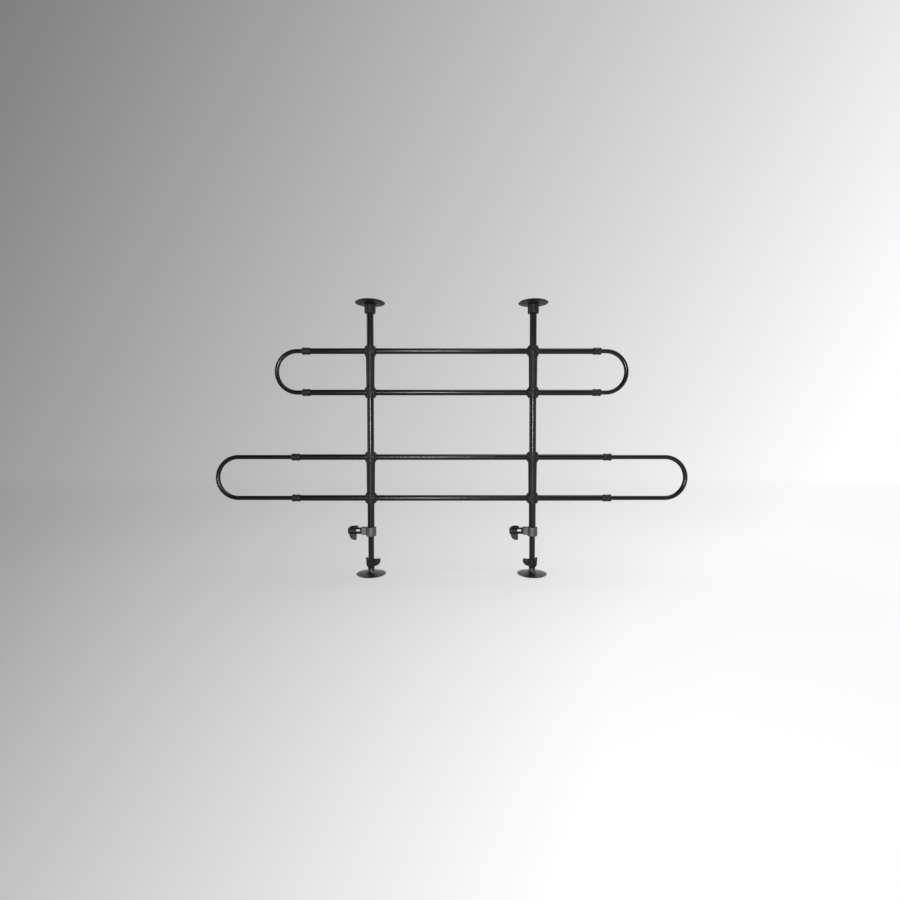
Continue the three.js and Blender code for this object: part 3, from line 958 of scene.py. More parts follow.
@dataclass
class EndCollars:
    """The grey bushes on the side tubes' ends, whose lips close down on the loops' legs."""

    finishes: Finishes
    radius: float = 10.0 * MM
    waist: float = 9.55 * MM
    tail: float = 9.0 * MM
    lip: float = 5.0 * MM
    tube_bore: float = 8.3 * MM
    leg_bore: float = 6.3 * MM
    mouth_round: float = 1.6 * MM
    bead: float = 5.2 * MM
    tail_taper: float = 2.8 * MM
    edge_round: float = 0.35 * MM
    arc_steps: int = 5
    sides: int = 64

    def profile(self, length: float) -> Profile:
        """Lays out the collar's closed profile, its mouth at height 0 and its tail below.

        Args:
            length: The collar's length.

        Returns:
            The profile.
        """
        mouth = round_corner((self.radius - self.mouth_round, -self.mouth_round),
                             (self.mouth_round, self.mouth_round), 0.0, 90.0, self.arc_steps)
        return [
            (self.tube_bore, -length),
            (self.tail, -length),
            (self.radius, self.tail_taper - length),
            (self.radius, self.bead - length),
            (self.waist, self.bead + self.mouth_round / 2.0 - length),
            (self.waist, -self.bead - self.mouth_round / 2.0),
            (self.radius, -self.bead),
            *mouth,
            (self.leg_bore, 0.0),
            (self.leg_bore, -self.lip),
            (self.tube_bore, -self.lip),
            (self.tube_bore, -length),
        ]

    def build(self) -> None:
        """Turns one collar and copies it to all eight places."""
        length = size_of("upper_right_collar_top").x
        master = turned("collar", self.profile(length), self.sides)
        soften(master, self.edge_round, segments=2, angle=COLLAR_EDGE)
        smooth(master, MOULDED_CREASE)
        for pair in Pair:
            for side in Side:
                for row in Row:
                    node = f"{pair.value}_{side.word}_collar_{row.value}"
                    low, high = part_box(node)
                    mouth_x = high.x if side is Side.RIGHT else low.x
                    piece = copy_of(master)
                    turn(piece, Axis.Y, side.sign * QUARTER_TURN)
                    stand(piece, mouth_x, (low.z + high.z) / 2.0)
                    hand_over(piece, node, self.finishes.bracket)
        discard(master)


# Brackets


@dataclass
class CrossBrackets:
    """The four double cross brackets: two moulded hubs on a tapered sleeve, one pair per post."""

    finishes: Finishes
    hub_height: float = 29.0 * MM
    hub_radius: float = 14.0 * MM
    inner_reach: float = 17.0 * MM
    outer_reach: float = 14.4 * MM
    gusset_depth: float = 5.5 * MM
    seat_radius: float = 8.9 * MM
    barrel_radius: float = 12.2 * MM
    sleeve_top: float = 12.7 * MM
    sleeve_shoulder: float = 11.8 * MM
    sleeve_bottom: float = 11.2 * MM
    shoulder_drop: float = 20.0 * MM
    spigot_radius: float = 6.7 * MM
    spigot_length: float = 24.0 * MM
    spigot_taper: float = 1.2 * MM
    post_bore: float = 9.8 * MM
    hub_edge: float = 1.0 * MM
    seam_width: float = 1.0 * MM
    seam_depth: float = 0.8 * MM
    overrun: float = 1.0 * MM
    grain: float = 0.5 * MM
    relax: int = 2
    flare_steps: int = 5
    sides: int = 64

    def hub(self) -> list[Piece]:
        """Makes one cross hub, its gusset towards +X.

        Returns:
            Its overlapping parts.
        """
        half = self.hub_height / 2.0
        edge = self.hub_edge
        barrel = turned("barrel", [
            (0.0, -half), (self.hub_radius - edge, -half), (self.hub_radius, edge - half),
            (self.hub_radius, half - edge), (self.hub_radius - edge, half), (0.0, half),
        ], self.sides)
        gusset = turned("gusset", [
            (0.0, 0.0), (half, 0.0), (half, self.inner_reach - self.gusset_depth),
            (self.seat_radius, self.inner_reach), (0.0, self.inner_reach),
        ], self.sides)
        turn(gusset, Axis.Y, QUARTER_TURN)
        boss = turned("boss", disc(self.barrel_radius, 0.0, self.outer_reach), self.sides)
        turn(boss, Axis.Y, -QUARTER_TURN)
        return [barrel, gusset, boss]

    def spigot(self, reach: float, sign: float) -> Piece:
        """Makes the pin that plugs into a rail.

        Args:
            reach: How far from the post's axis the hub's own face is.
            sign: The side of the post that the pin stands out on.

        Returns:
            The pin, lying along X.
        """
        start = self.post_bore + self.overrun
        end = reach + self.spigot_length
        pin = turned("spigot", [
            (0.0, start), (self.spigot_radius, start),
            (self.spigot_radius, end - self.spigot_taper),
            (self.spigot_radius - self.spigot_taper, end), (0.0, end),
        ], self.sides)
        turn(pin, Axis.Y, sign * QUARTER_TURN)
        return pin

    def sleeve(self, hub_z: float) -> Piece:
        """Makes the tapered sleeve between the two hubs.

        Args:
            hub_z: The height of the hubs above and below the origin.

        Returns:
            The sleeve, standing on end.
        """
        top = hub_z - self.hub_height / 2.0
        flare = round_corner((self.sleeve_top, top - self.shoulder_drop),
                             (self.sleeve_top - self.sleeve_shoulder, self.shoulder_drop),
                             180.0, 90.0, self.flare_steps)
        return turned("sleeve", [
            (0.0, -hub_z), (self.sleeve_bottom, -hub_z), (self.sleeve_bottom, -top),
            *flare, (self.sleeve_top, hub_z), (0.0, hub_z),
        ], self.sides)

    def seam(self, height: float, radius: float) -> Piece:
        """Makes the cutter of the groove where the sleeve meets a hub."""
        return turned("seam", ring(radius - self.seam_depth, self.hub_radius + self.overrun,
                                   height, height + self.seam_width), self.sides)

    def master(self, hub_z: float) -> Piece:
        """Makes the bracket about the origin.

        Args:
            hub_z: The height of the hubs above and below the origin.

        Returns:
            The finished moulding.
        """
        parts = [self.sleeve(hub_z)]
        for height in (-hub_z, hub_z):
            for part in self.hub():
                stand(part, 0.0, height)
                parts.append(part)
        bracket = cast("bracket", parts, self.grain, self.relax)
        joint = hub_z - self.hub_height / 2.0
        reach = hub_z + self.hub_height / 2.0 + self.overrun
        bore = turned("bore", disc(self.post_bore, -reach, reach), self.sides)
        cut(bracket, [
            bore,
            self.seam(joint - self.seam_width, self.sleeve_top),
            self.seam(-joint, self.sleeve_bottom),
        ])
        pins = []
        for height in (-hub_z, hub_z):
            for reach, sign in ((self.inner_reach, 1.0), (self.outer_reach, -1.0)):
                pin = self.spigot(reach, sign)
                stand(pin, 0.0, height)
                pins.append(pin)
        weld(bracket, pins)
        smooth(bracket, MOULDED_CREASE)
        return bracket

    def build(self) -> None:
        """Moulds one bracket and copies it to all four places."""
        height = size_of("upper_left_bracket").z
        master = self.master((height - self.hub_height) / 2.0)
        for pair in Pair:
            for side in Side:
                node = f"{pair.value}_{side.word}_bracket"
                low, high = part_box(node)
                piece = copy_of(master)
                if side is Side.RIGHT:
                    turn(piece, Axis.Z, HALF_TURN)
                stand(piece, axis_x(f"{side.word}_post"), (low.z + high.z) / 2.0)
                hand_over(piece, node, self.finishes.bracket)
        discard(master)


# Knobs and screws


@dataclass
class WingedKnob:
    """The three-winged moulding that serves as clamp knob and as adjusting nut."""

    length: float = 23.4 * MM
    hub_radius: float = 9.2 * MM
    hub_edge: float = 1.6 * MM
    wing_radius: float = 25.5 * MM
    wing_thickness: float = 4.6 * MM
    wing_tip: float = 5.8 * MM
    hub_stub: float = 2.9 * MM
    wing_round: float = 1.3 * MM
    wing_count: int = 3
    grain: float = 0.42 * MM
    relax: int = 6
    wing_steps: int = 9
    dome_steps: int = 5
    sides: int = 48

    def wing(self, angle: float) -> Piece:
        """Makes one wing with rounded edges, its flat side at height 0.

        Args:
            angle: The wing's direction about Z.

        Returns:
            The wing.
        """
        top = self.length - self.hub_stub
        root = self.hub_radius / 2.0
        curve = round_corner((self.hub_radius, self.wing_tip),
                             (self.wing_radius - self.hub_radius, top - self.wing_tip),
                             0.0, 90.0, self.wing_steps)
        outline = [(root, 0.0), (self.wing_radius, 0.0), *curve, (root, top)]
        wing = plate("wing", outline, self.wing_thickness)
        soften(wing, self.wing_round, segments=4, angle=SQUARE_EDGE)
        turn(wing, Axis.Z, angle)
        return wing

    def blank(self, name: str, bottom: float, first_angle: float) -> Piece:
        """Moulds the hub and its wings, not yet bored.

        Args:
            name: The moulding's name.
            bottom: The height of the hub's lower end, where the wings' flat side is at 0.
            first_angle: The direction of the first wing about Z.

        Returns:
            The moulding.
        """
        edge = self.hub_edge
        dome = round_corner((self.hub_radius - edge, self.length - edge), (edge, edge),
                            0.0, 90.0, self.dome_steps)
        hub = turned("hub", [
            (0.0, bottom), (self.hub_radius, bottom), *dome, (0.0, self.length),
        ], self.sides)
        wings = [self.wing(first_angle + FULL_TURN * count / self.wing_count)
                 for count in range(self.wing_count)]
        return cast(name, [*wings, hub], self.grain, self.relax)


@dataclass
class ThreadedStud:
    """A steel stud with a real helical thread."""

    radius: float
    pitch: float
    thread_depth_share: float = 0.6134
    crest_low_share: float = 0.4375
    crest_high_share: float = 0.5625
    spare_turns: int = 2
    sides: int = 32

    def make(self, length: float) -> Piece:
        """Cuts a stud about the origin along Z, from a thread with turns to spare at both ends.

        Args:
            length: The stud's length.

        Returns:
            The stud, its lower end at height 0.
        """
        root = self.radius - self.pitch * self.thread_depth_share
        crest_low = self.crest_low_share * self.pitch
        crest_high = self.crest_high_share * self.pitch
        turns = math.ceil(length / self.pitch) + self.spare_turns
        piece = new_point("stud")
        draw([(root, 0.0), (self.radius, crest_low), (self.radius, crest_high), (root, self.pitch)])
        bpy.ops.object.mode_set(mode="OBJECT")
        apply_modifier(piece, "SCREW", angle=FULL_TURN, screw_offset=self.pitch, iterations=turns,
                       steps=self.sides, render_steps=self.sides, axis="Z",
                       use_merge_vertices=True, merge_threshold=MERGE_DISTANCE)
        stand(piece, 0.0, -self.pitch)
        edit(piece)
        bpy.ops.mesh.remove_doubles(threshold=MERGE_DISTANCE)
        for height, above in ((0.0, False), (length, True)):
            bpy.ops.mesh.select_all(action="SELECT")
            bpy.ops.mesh.bisect(plane_co=(0.0, 0.0, height), plane_no=(0.0, 0.0, 1.0),
                                use_fill=True, clear_inner=not above, clear_outer=above)
        close_edit()
        return piece


@dataclass
class HeightClamps:
    """The moulded clamp at each post's lower end, with its screw, pressure tip and winged knob."""

    finishes: Finishes
    knob: WingedKnob
    radius: float = 14.5 * MM
    lip: float = 5.0 * MM
    post_bore: float = 9.8 * MM
    tube_bore: float = 8.3 * MM
    top_edge: float = 0.9 * MM
    bottom_edge: float = 4.0 * MM
    screw_rise: float = 15.5 * MM
    ear_reach: float = 26.0 * MM
    ear_half_height: float = 10.5 * MM
    ear_half_depth: float = 9.5 * MM
    ear_corner: float = 3.2 * MM
    screw_bore: float = 3.45 * MM
    insert_bore: float = 4.9 * MM
    insert_depth: float = 9.3 * MM
    stud_radius: float = 3.0 * MM
    stud_pitch: float = 1.0 * MM
    neck_length: float = 13.4 * MM
    neck_wall: float = 3.2 * MM
    slot_depth_in_wings: float = 3.0 * MM
    slot_height: float = 5.6 * MM
    slot_offset: float = 0.7 * MM
    slot_round: float = 0.8 * MM
    socket_bore: float = 3.3 * MM
    knob_tilt: float = math.radians(-10.0)
    overrun: float = 1.0 * MM
    small_round: float = 0.3 * MM
    groove_width: float = 1.8 * MM
    groove_skin: float = 0.15 * MM
    groove_floor: float = 6.2 * MM
    groove_reach: float = 9.0 * MM
    grain: float = 0.45 * MM
    relax: int = 3
    foot_steps: int = 6
    sides: int = 64

    def ear(self) -> Piece:
        """Makes the ear block about the origin.

        Returns:
            The ear, standing out towards -X.
        """
        ear = block("ear", (self.ear_reach, 2.0 * self.ear_half_depth, 2.0 * self.ear_half_height),
                    (-self.ear_reach / 2.0, 0.0, 0.0))
        edit(ear)
        bpy.ops.mesh.select_mode(type="EDGE")
        bpy.ops.mesh.select_all(action="DESELECT")
        bpy.ops.object.mode_set(mode="OBJECT")
        for edge in ear.data.edges:
            start, end = (ear.data.vertices[index].co for index in edge.vertices)
            edge.select = abs(start.x - end.x) > self.ear_reach / 2.0
        bpy.ops.object.mode_set(mode="EDIT")
        bpy.ops.mesh.bevel(offset=self.ear_corner, segments=3, affect="EDGES")
        close_edit()
        soften(ear, self.top_edge, angle=SQUARE_EDGE)
        return ear

    def ring_master(self, height: float) -> Piece:
        """Moulds the clamp ring about the post's axis, its base at height 0.

        Args:
            height: The ring's height.

        Returns:
            The finished moulding.
        """
        foot = round_corner((self.radius - self.bottom_edge, self.bottom_edge),
                            (self.bottom_edge, self.bottom_edge), -90.0, 0.0, self.foot_steps)
        body = turned("body", [
            (0.0, 0.0), *foot, (self.radius, height - self.top_edge),
            (self.radius - self.top_edge, height), (0.0, height),
        ], self.sides)
        ear = self.ear()
        stand(ear, 0.0, self.screw_rise)
        clamp = cast("clamp", [ear, body], self.grain, self.relax)
        tools = [
            turned("post_bore", disc(self.post_bore, self.lip, height + self.overrun), self.sides),
            turned("tube_bore", disc(self.tube_bore, -self.overrun, height), self.sides),
        ]
        seat = self.ear_reach - self.insert_depth
        for radius, start in ((self.screw_bore, 0.0), (self.insert_bore, seat)):
            bore = disc(radius, start, self.ear_reach + self.overrun)
            tool = turned("screw_bore", bore, self.sides // 2)
            turn(tool, Axis.Y, -QUARTER_TURN)
            stand(tool, 0.0, self.screw_rise)
            tools.append(tool)
        tools.append(self.ear_groove(height))
        cut(clamp, tools)
        smooth(clamp, MOULDED_CREASE)
        return clamp

    def ear_groove(self, height: float) -> Piece:
        """Makes the cutter that lets the ring's round side run on into the ear's front and back.

        Args:
            height: The ring's height.

        Returns:
            The cutter, about the post's axis.
        """
        inner = self.radius + self.groove_skin
        groove = turned("ear_groove", ring(inner, inner + self.groove_width, -self.overrun,
                                           height + self.overrun), self.sides)
        reach = 4.0 * self.radius
        cut(groove, [
            block("web", (reach, 2.0 * self.groove_floor, reach), (0.0, 0.0, 0.0)),
            block("far_side", (reach, reach, reach), (reach / 2.0 - self.groove_reach, 0.0, 0.0)),
        ])
        return groove

    def knob_master(self) -> Piece:
        """Moulds the clamp knob and slots its neck.

        Returns:
            The knob, lying along -X with the flat side of its wings at 0.
        """
        piece = self.knob.blank("clamp_knob", -self.neck_length, HALF_TURN)
        slot_length = self.neck_length - self.neck_wall + self.slot_depth_in_wings
        slot = block("slot", (self.slot_height, 3.0 * self.knob.hub_radius, slot_length),
                     (self.slot_offset, 0.0, self.slot_depth_in_wings - slot_length / 2.0))
        soften(slot, self.slot_round, angle=SQUARE_EDGE)
        socket = turned("socket", disc(self.socket_bore, -self.neck_length - self.overrun,
                                       self.neck_wall / 2.0 - self.neck_length), self.sides // 2)
        cut(piece, [slot, socket])
        smooth(piece, MOULDED_CREASE)
        turn(piece, Axis.Y, -QUARTER_TURN)
        turn(piece, Axis.X, self.knob_tilt)
        return piece

    def small_turned(self, node: str, inner: float, material: Material) -> None:
        """Makes a small bush or pin of the clamp along X.

        Args:
            node: The solid's name.
            inner: The bore's radius, or 0 for a solid pin.
            material: Its finish.
        """
        size = size_of(node)
        half = size.x / 2.0
        outer = size.z / 2.0
        profile = ring(inner, outer, -half, half) if inner else disc(outer, -half, half)
        piece = turned(node, profile, self.sides // 2)
        soften(piece, self.small_round)
        turn(piece, Axis.Y, -QUARTER_TURN)
        shift(piece, middle_of(node))
        smooth(piece)
        hand_over(piece, node, material)

    def build(self) -> None:
        """Makes both clamps."""
        ring_master = self.ring_master(size_of("left_clamp_ring").z)
        knob_master = self.knob_master()
        for side in Side:
            name = f"{side.word}_clamp"
            low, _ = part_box(f"{name}_ring")
            screw_z = low.z + self.screw_rise
            clamp = copy_of(ring_master)
            stand(clamp, axis_x(f"{side.word}_post"), low.z)
            hand_over(clamp, f"{name}_ring", self.finishes.clamp)
            _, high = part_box(f"{name}_knob")
            knob = copy_of(knob_master)
            stand(knob, high.x - self.neck_length, screw_z)
            hand_over(knob, f"{name}_knob", self.finishes.knob)
            _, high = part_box(f"{name}_stud")
            stud = ThreadedStud(self.stud_radius, self.stud_pitch).make(size_of(f"{name}_stud").x)
            turn(stud, Axis.Y, -QUARTER_TURN)
            stand(stud, high.x, screw_z)
            smooth(stud)
            hand_over(stud, f"{name}_stud", self.finishes.steel)
            self.small_turned(f"{name}_insert", self.screw_bore, self.finishes.brass)
            self.small_turned(f"{name}_tip", 0.0, self.finishes.nylon)
        discard(ring_master)
        discard(knob_master)


# Pads and feet


@dataclass
class DishedPad:
    """The round pad that presses on floor or roof: thin rim, shallow cone and ribbed sole."""

    radius: float = 40.98 * MM
    sole_radius: float = 37.5 * MM
    undercut: float = 2.4 * MM
    edge: float = 0.6 * MM
    rim_height: float = 3.3 * MM
    rim_width: float = 3.5 * MM
    step_width: float = 1.5 * MM
    step_rise: float = 0.7 * MM
    crown_height: float = 7.5 * MM
    crown_radius: float = 13.0 * MM
    groove_radii: tuple[float, ...] = (15.0 * MM, 20.5 * MM, 26.0 * MM, 31.5 * MM)
    groove_width: float = 1.6 * MM
    groove_depth: float = 0.6 * MM
    edge_arc: tuple[float, float] = (-60.0, 80.0)
    edge_steps: int = 5
    sides: int = 96

    def outline(self) -> Profile:
        """Lays out half the pad's section.

        Returns:
            The profile from the middle of the sole out round the rim to the crown.
        """
        sole = [(0.0, 0.0)]
        for middle in self.groove_radii:
            near = middle - self.groove_width / 2.0
            far = middle + self.groove_width / 2.0
            sole += [(near, 0.0), (near, self.groove_depth), (far, self.groove_depth), (far, 0.0)]
        half = self.edge / 2.0
        thin_edge = round_corner((self.radius - half, self.undercut + half), (half, half),
                                 *self.edge_arc, self.edge_steps)
        rim_inner = self.radius - self.rim_width
        return [
            *sole, (self.sole_radius, 0.0), *thin_edge,
            (rim_inner, self.rim_height),
            (rim_inner - self.step_width, self.rim_height + self.step_rise),
            (self.crown_radius, self.crown_height),
        ]


@dataclass
class ScrewFeet:
    """The foot of each post with its pad, stud and winged nut, and the plug and glide above it."""

    finishes: Finishes
    pad: DishedPad
    knob: WingedKnob
    boss_radius: float = 9.0 * MM
    boss_flare: float = 1.2 * MM
    flare_height: float = 10.0 * MM
    flare_end: float = 14.0 * MM
    socket_depth: float = 14.0 * MM
    socket_bore: float = 4.3 * MM
    stud_radius: float = 4.0 * MM
    stud_pitch: float = 1.25 * MM
    stud_bore: float = 4.5 * MM
    pocket_bore: float = 6.3 * MM
    pocket_depth: float = 7.3 * MM
    nut_turn: float = math.radians(12.0)
    plug_flange: float = 1.6 * MM
    plug_shank: float = 6.7 * MM
    glide_flange: float = 5.0 * MM
    glide_bore: float = 4.0 * MM
    edge_round: float = 0.35 * MM
    overrun: float = 1.0 * MM
    sides: int = 48

    def foot_pad(self, node: str, centre_x: float) -> None:
        """Moulds the foot pad with its boss.

        Args:
            node: The solid's name.
            centre_x: Where the post's axis is along X.
        """
        low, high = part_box(node)
        top = high.z - low.z
        floor = top - self.socket_depth
        flare = self.boss_radius + self.boss_flare
        hollow = (self.boss_radius + self.boss_flare / 4.0,
                  (self.flare_height + self.flare_end) / 2.0)
        piece = turned(node, [
            *self.pad.outline(), (flare, self.flare_height), hollow,
            (self.boss_radius, self.flare_end), (self.boss_radius, top),
            (self.socket_bore, top), (self.socket_bore, floor), (0.0, floor),
        ], self.pad.sides)
        soften(piece, self.edge_round, angle=PAD_EDGE)
        stand(piece, centre_x, low.z)
        smooth(piece, PAD_CREASE)
        hand_over(piece, node, self.finishes.foot)

    def nut(self, node: str, centre_x: float, side: Side) -> None:
        """Moulds the adjusting nut, flat side up, and bores it for the stud and its insert.

        Args:
            node: The solid's name.
            centre_x: Where the post's axis is along X.
            side: The side of the guard, which sets how its wings stand.
        """
        _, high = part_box(node)
        piece = self.knob.blank(node, 0.0, 0.0)
        end = self.knob.length + self.overrun
        cut(piece, [
            turned("bore", disc(self.stud_bore, -self.overrun, end), self.sides),
            turned("pocket", disc(self.pocket_bore, -self.overrun, self.pocket_depth), self.sides),
        ])
        turn(piece, Axis.X, HALF_TURN)
        turn(piece, Axis.Z, HALF_TURN - self.nut_turn if side is Side.RIGHT else self.nut_turn)
        stand(piece, centre_x, high.z)
        smooth(piece, MOULDED_CREASE)
        hand_over(piece, node, self.finishes.knob)

    def bush(self, node: str, profile: Profile, centre_x: float, material: Material) -> None:
        """Turns a plain round piece on the post's axis.

        Args:
            node: The solid's name.
            profile: The piece's closed profile, at its true heights.
            centre_x: Where the post's axis is along X.
            material: Its finish.
        """
        piece = turned(node, profile, self.sides)
        soften(piece, self.edge_round, segments=2)
        stand(piece, centre_x, 0.0)
        smooth(piece)
        hand_over(piece, node, material)

    def plug(self, node: str, centre_x: float) -> None:
        """Turns the plug in the lower tube's bottom end, its flange below.

        Args:
            node: The solid's name.
            centre_x: Where the post's axis is along X.
        """
        low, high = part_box(node)
        outer = (high.y - low.y) / 2.0
        flange_top = low.z + self.plug_flange
        self.bush(node, [
            (self.stud_bore, low.z), (outer, low.z), (outer, flange_top),
            (self.plug_shank, flange_top), (self.plug_shank, high.z), (self.stud_bore, high.z),
            (self.stud_bore, low.z),
        ], centre_x, self.finishes.knob)

    def glide(self, node: str, centre_x: float) -> None:
        """Turns the glide in the lower tube's top end, its flange above.

        Args:
            node: The solid's name.
            centre_x: Where the post's axis is along X.
        """
        low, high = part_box(node)
        outer = (high.y - low.y) / 2.0
        flange_low = high.z - self.glide_flange
        self.bush(node, [
            (self.glide_bore, low.z), (self.plug_shank, low.z), (self.plug_shank, flange_low),
            (outer, flange_low), (outer, high.z), (self.glide_bore, high.z),
            (self.glide_bore, low.z),
        ], centre_x, self.finishes.nylon)

    def build(self) -> None:
        """Makes both feet."""
        for side in Side:
            x = axis_x(f"{side.word}_lower_tube")
            self.foot_pad(f"{side.word}_foot_pad", x)
            self.nut(f"{side.word}_adjusting_nut", x, side)
            node = f"{side.word}_foot_stud"
            low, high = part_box(node)
            stud = ThreadedStud(self.stud_radius, self.stud_pitch).make(high.z - low.z)
            stand(stud, x, low.z)
            smooth(stud)
            hand_over(stud, node, self.finishes.steel)
            node = f"{side.word}_nut_insert"
            low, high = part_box(node)
            sleeve = ring(self.stud_bore, (high.y - low.y) / 2.0, low.z, high.z)
            self.bush(node, sleeve, x, self.finishes.brass)
            self.plug(f"{side.word}_end_plug", x)
            self.glide(f"{side.word}_top_glide", x)


@dataclass
class RoofEnds:
    """The pad and collar at the top of each post."""

    finishes: Finishes
    pad: DishedPad
    stem_radius: float = 8.2 * MM
    stem_taper: float = 1.5 * MM
    cap_radius: float = 15.4 * MM
    cap_lip: float = 4.0 * MM
    cap_top_round: float = 1.4 * MM
    cap_foot_round: float = 3.0 * MM
    post_bore: float = 9.8 * MM
    stem_bore: float = 8.5 * MM
    edge_round: float = 0.4 * MM
    cap_foot_arc: tuple[float, float] = (-60.0, 0.0)
    cap_foot_steps: int = 5
    cap_top_steps: int = 4

    def roof_pad(self, node: str, centre_x: float) -> None:
        """Moulds the roof pad, its ribbed face up and its stem down.

        Args:
            node: The solid's name.
            centre_x: Where the post's axis is along X.
        """
        low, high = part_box(node)
        length = high.z - low.z
        piece = turned(node, [
            *self.pad.outline(),
            (self.stem_radius, self.pad.crown_height),
            (self.stem_radius, length - self.stem_taper),
            (self.stem_radius - self.stem_taper, length), (0.0, length),
        ], self.pad.sides)
        soften(piece, self.edge_round, angle=PAD_EDGE)
        turn(piece, Axis.X, HALF_TURN)
        stand(piece, centre_x, high.z)
        smooth(piece, PAD_CREASE)
        hand_over(piece, node, self.finishes.pad)

    def collar(self, node: str, centre_x: float) -> None:
        """Moulds the collar under the roof pad.

        Args:
            node: The solid's name.
            centre_x: Where the post's axis is along X.
        """
        low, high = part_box(node)
        foot = round_corner((self.cap_radius - self.cap_foot_round, low.z + self.cap_foot_round),
                            (self.cap_foot_round, self.cap_foot_round),
                            *self.cap_foot_arc, self.cap_foot_steps)
        top = round_corner((self.cap_radius - self.cap_top_round, high.z - self.cap_top_round),
                           (self.cap_top_round, self.cap_top_round),
                           0.0, 90.0, self.cap_top_steps)
        piece = turned(node, [
            (self.post_bore, low.z), (foot[0][0], low.z), *foot, *top, (self.stem_bore, high.z),
            (self.stem_bore, high.z - self.cap_lip), (self.post_bore, high.z - self.cap_lip),
            (self.post_bore, low.z),
        ], self.pad.sides)
        soften(piece, self.edge_round, segments=2, angle=PAD_EDGE)
        stand(piece, centre_x, 0.0)
        smooth(piece)
        hand_over(piece, node, self.finishes.bracket)

    def build(self) -> None:
        """Makes both roof ends."""
        for side in Side:
            x = axis_x(f"{side.word}_post")
            self.roof_pad(f"{side.word}_roof_pad", x)
            self.collar(f"{side.word}_roof_collar", x)


# Studio


@dataclass(frozen=True)
class Softbox:
    """A rectangular studio lamp."""

    name: str
    place: tuple[float, float, float]
    aim: tuple[float, float, float]
    width: float
    height: float
    power: float

    def hang(self) -> None:
        """Hangs the lamp and points it at its aim."""
        light = bpy.data.lights.new(self.name, "AREA")
        light.shape = "RECTANGLE"
        light.size = self.width
        light.size_y = self.height
        light.energy = self.power
        lamp = bpy.data.objects.new(self.name, light)
        bpy.context.scene.collection.objects.link(lamp)
        lamp.location = self.place
        direction = Vector(self.aim) - Vector(self.place)
        lamp.rotation_euler = direction.to_track_quat("-Z", "Y").to_euler()


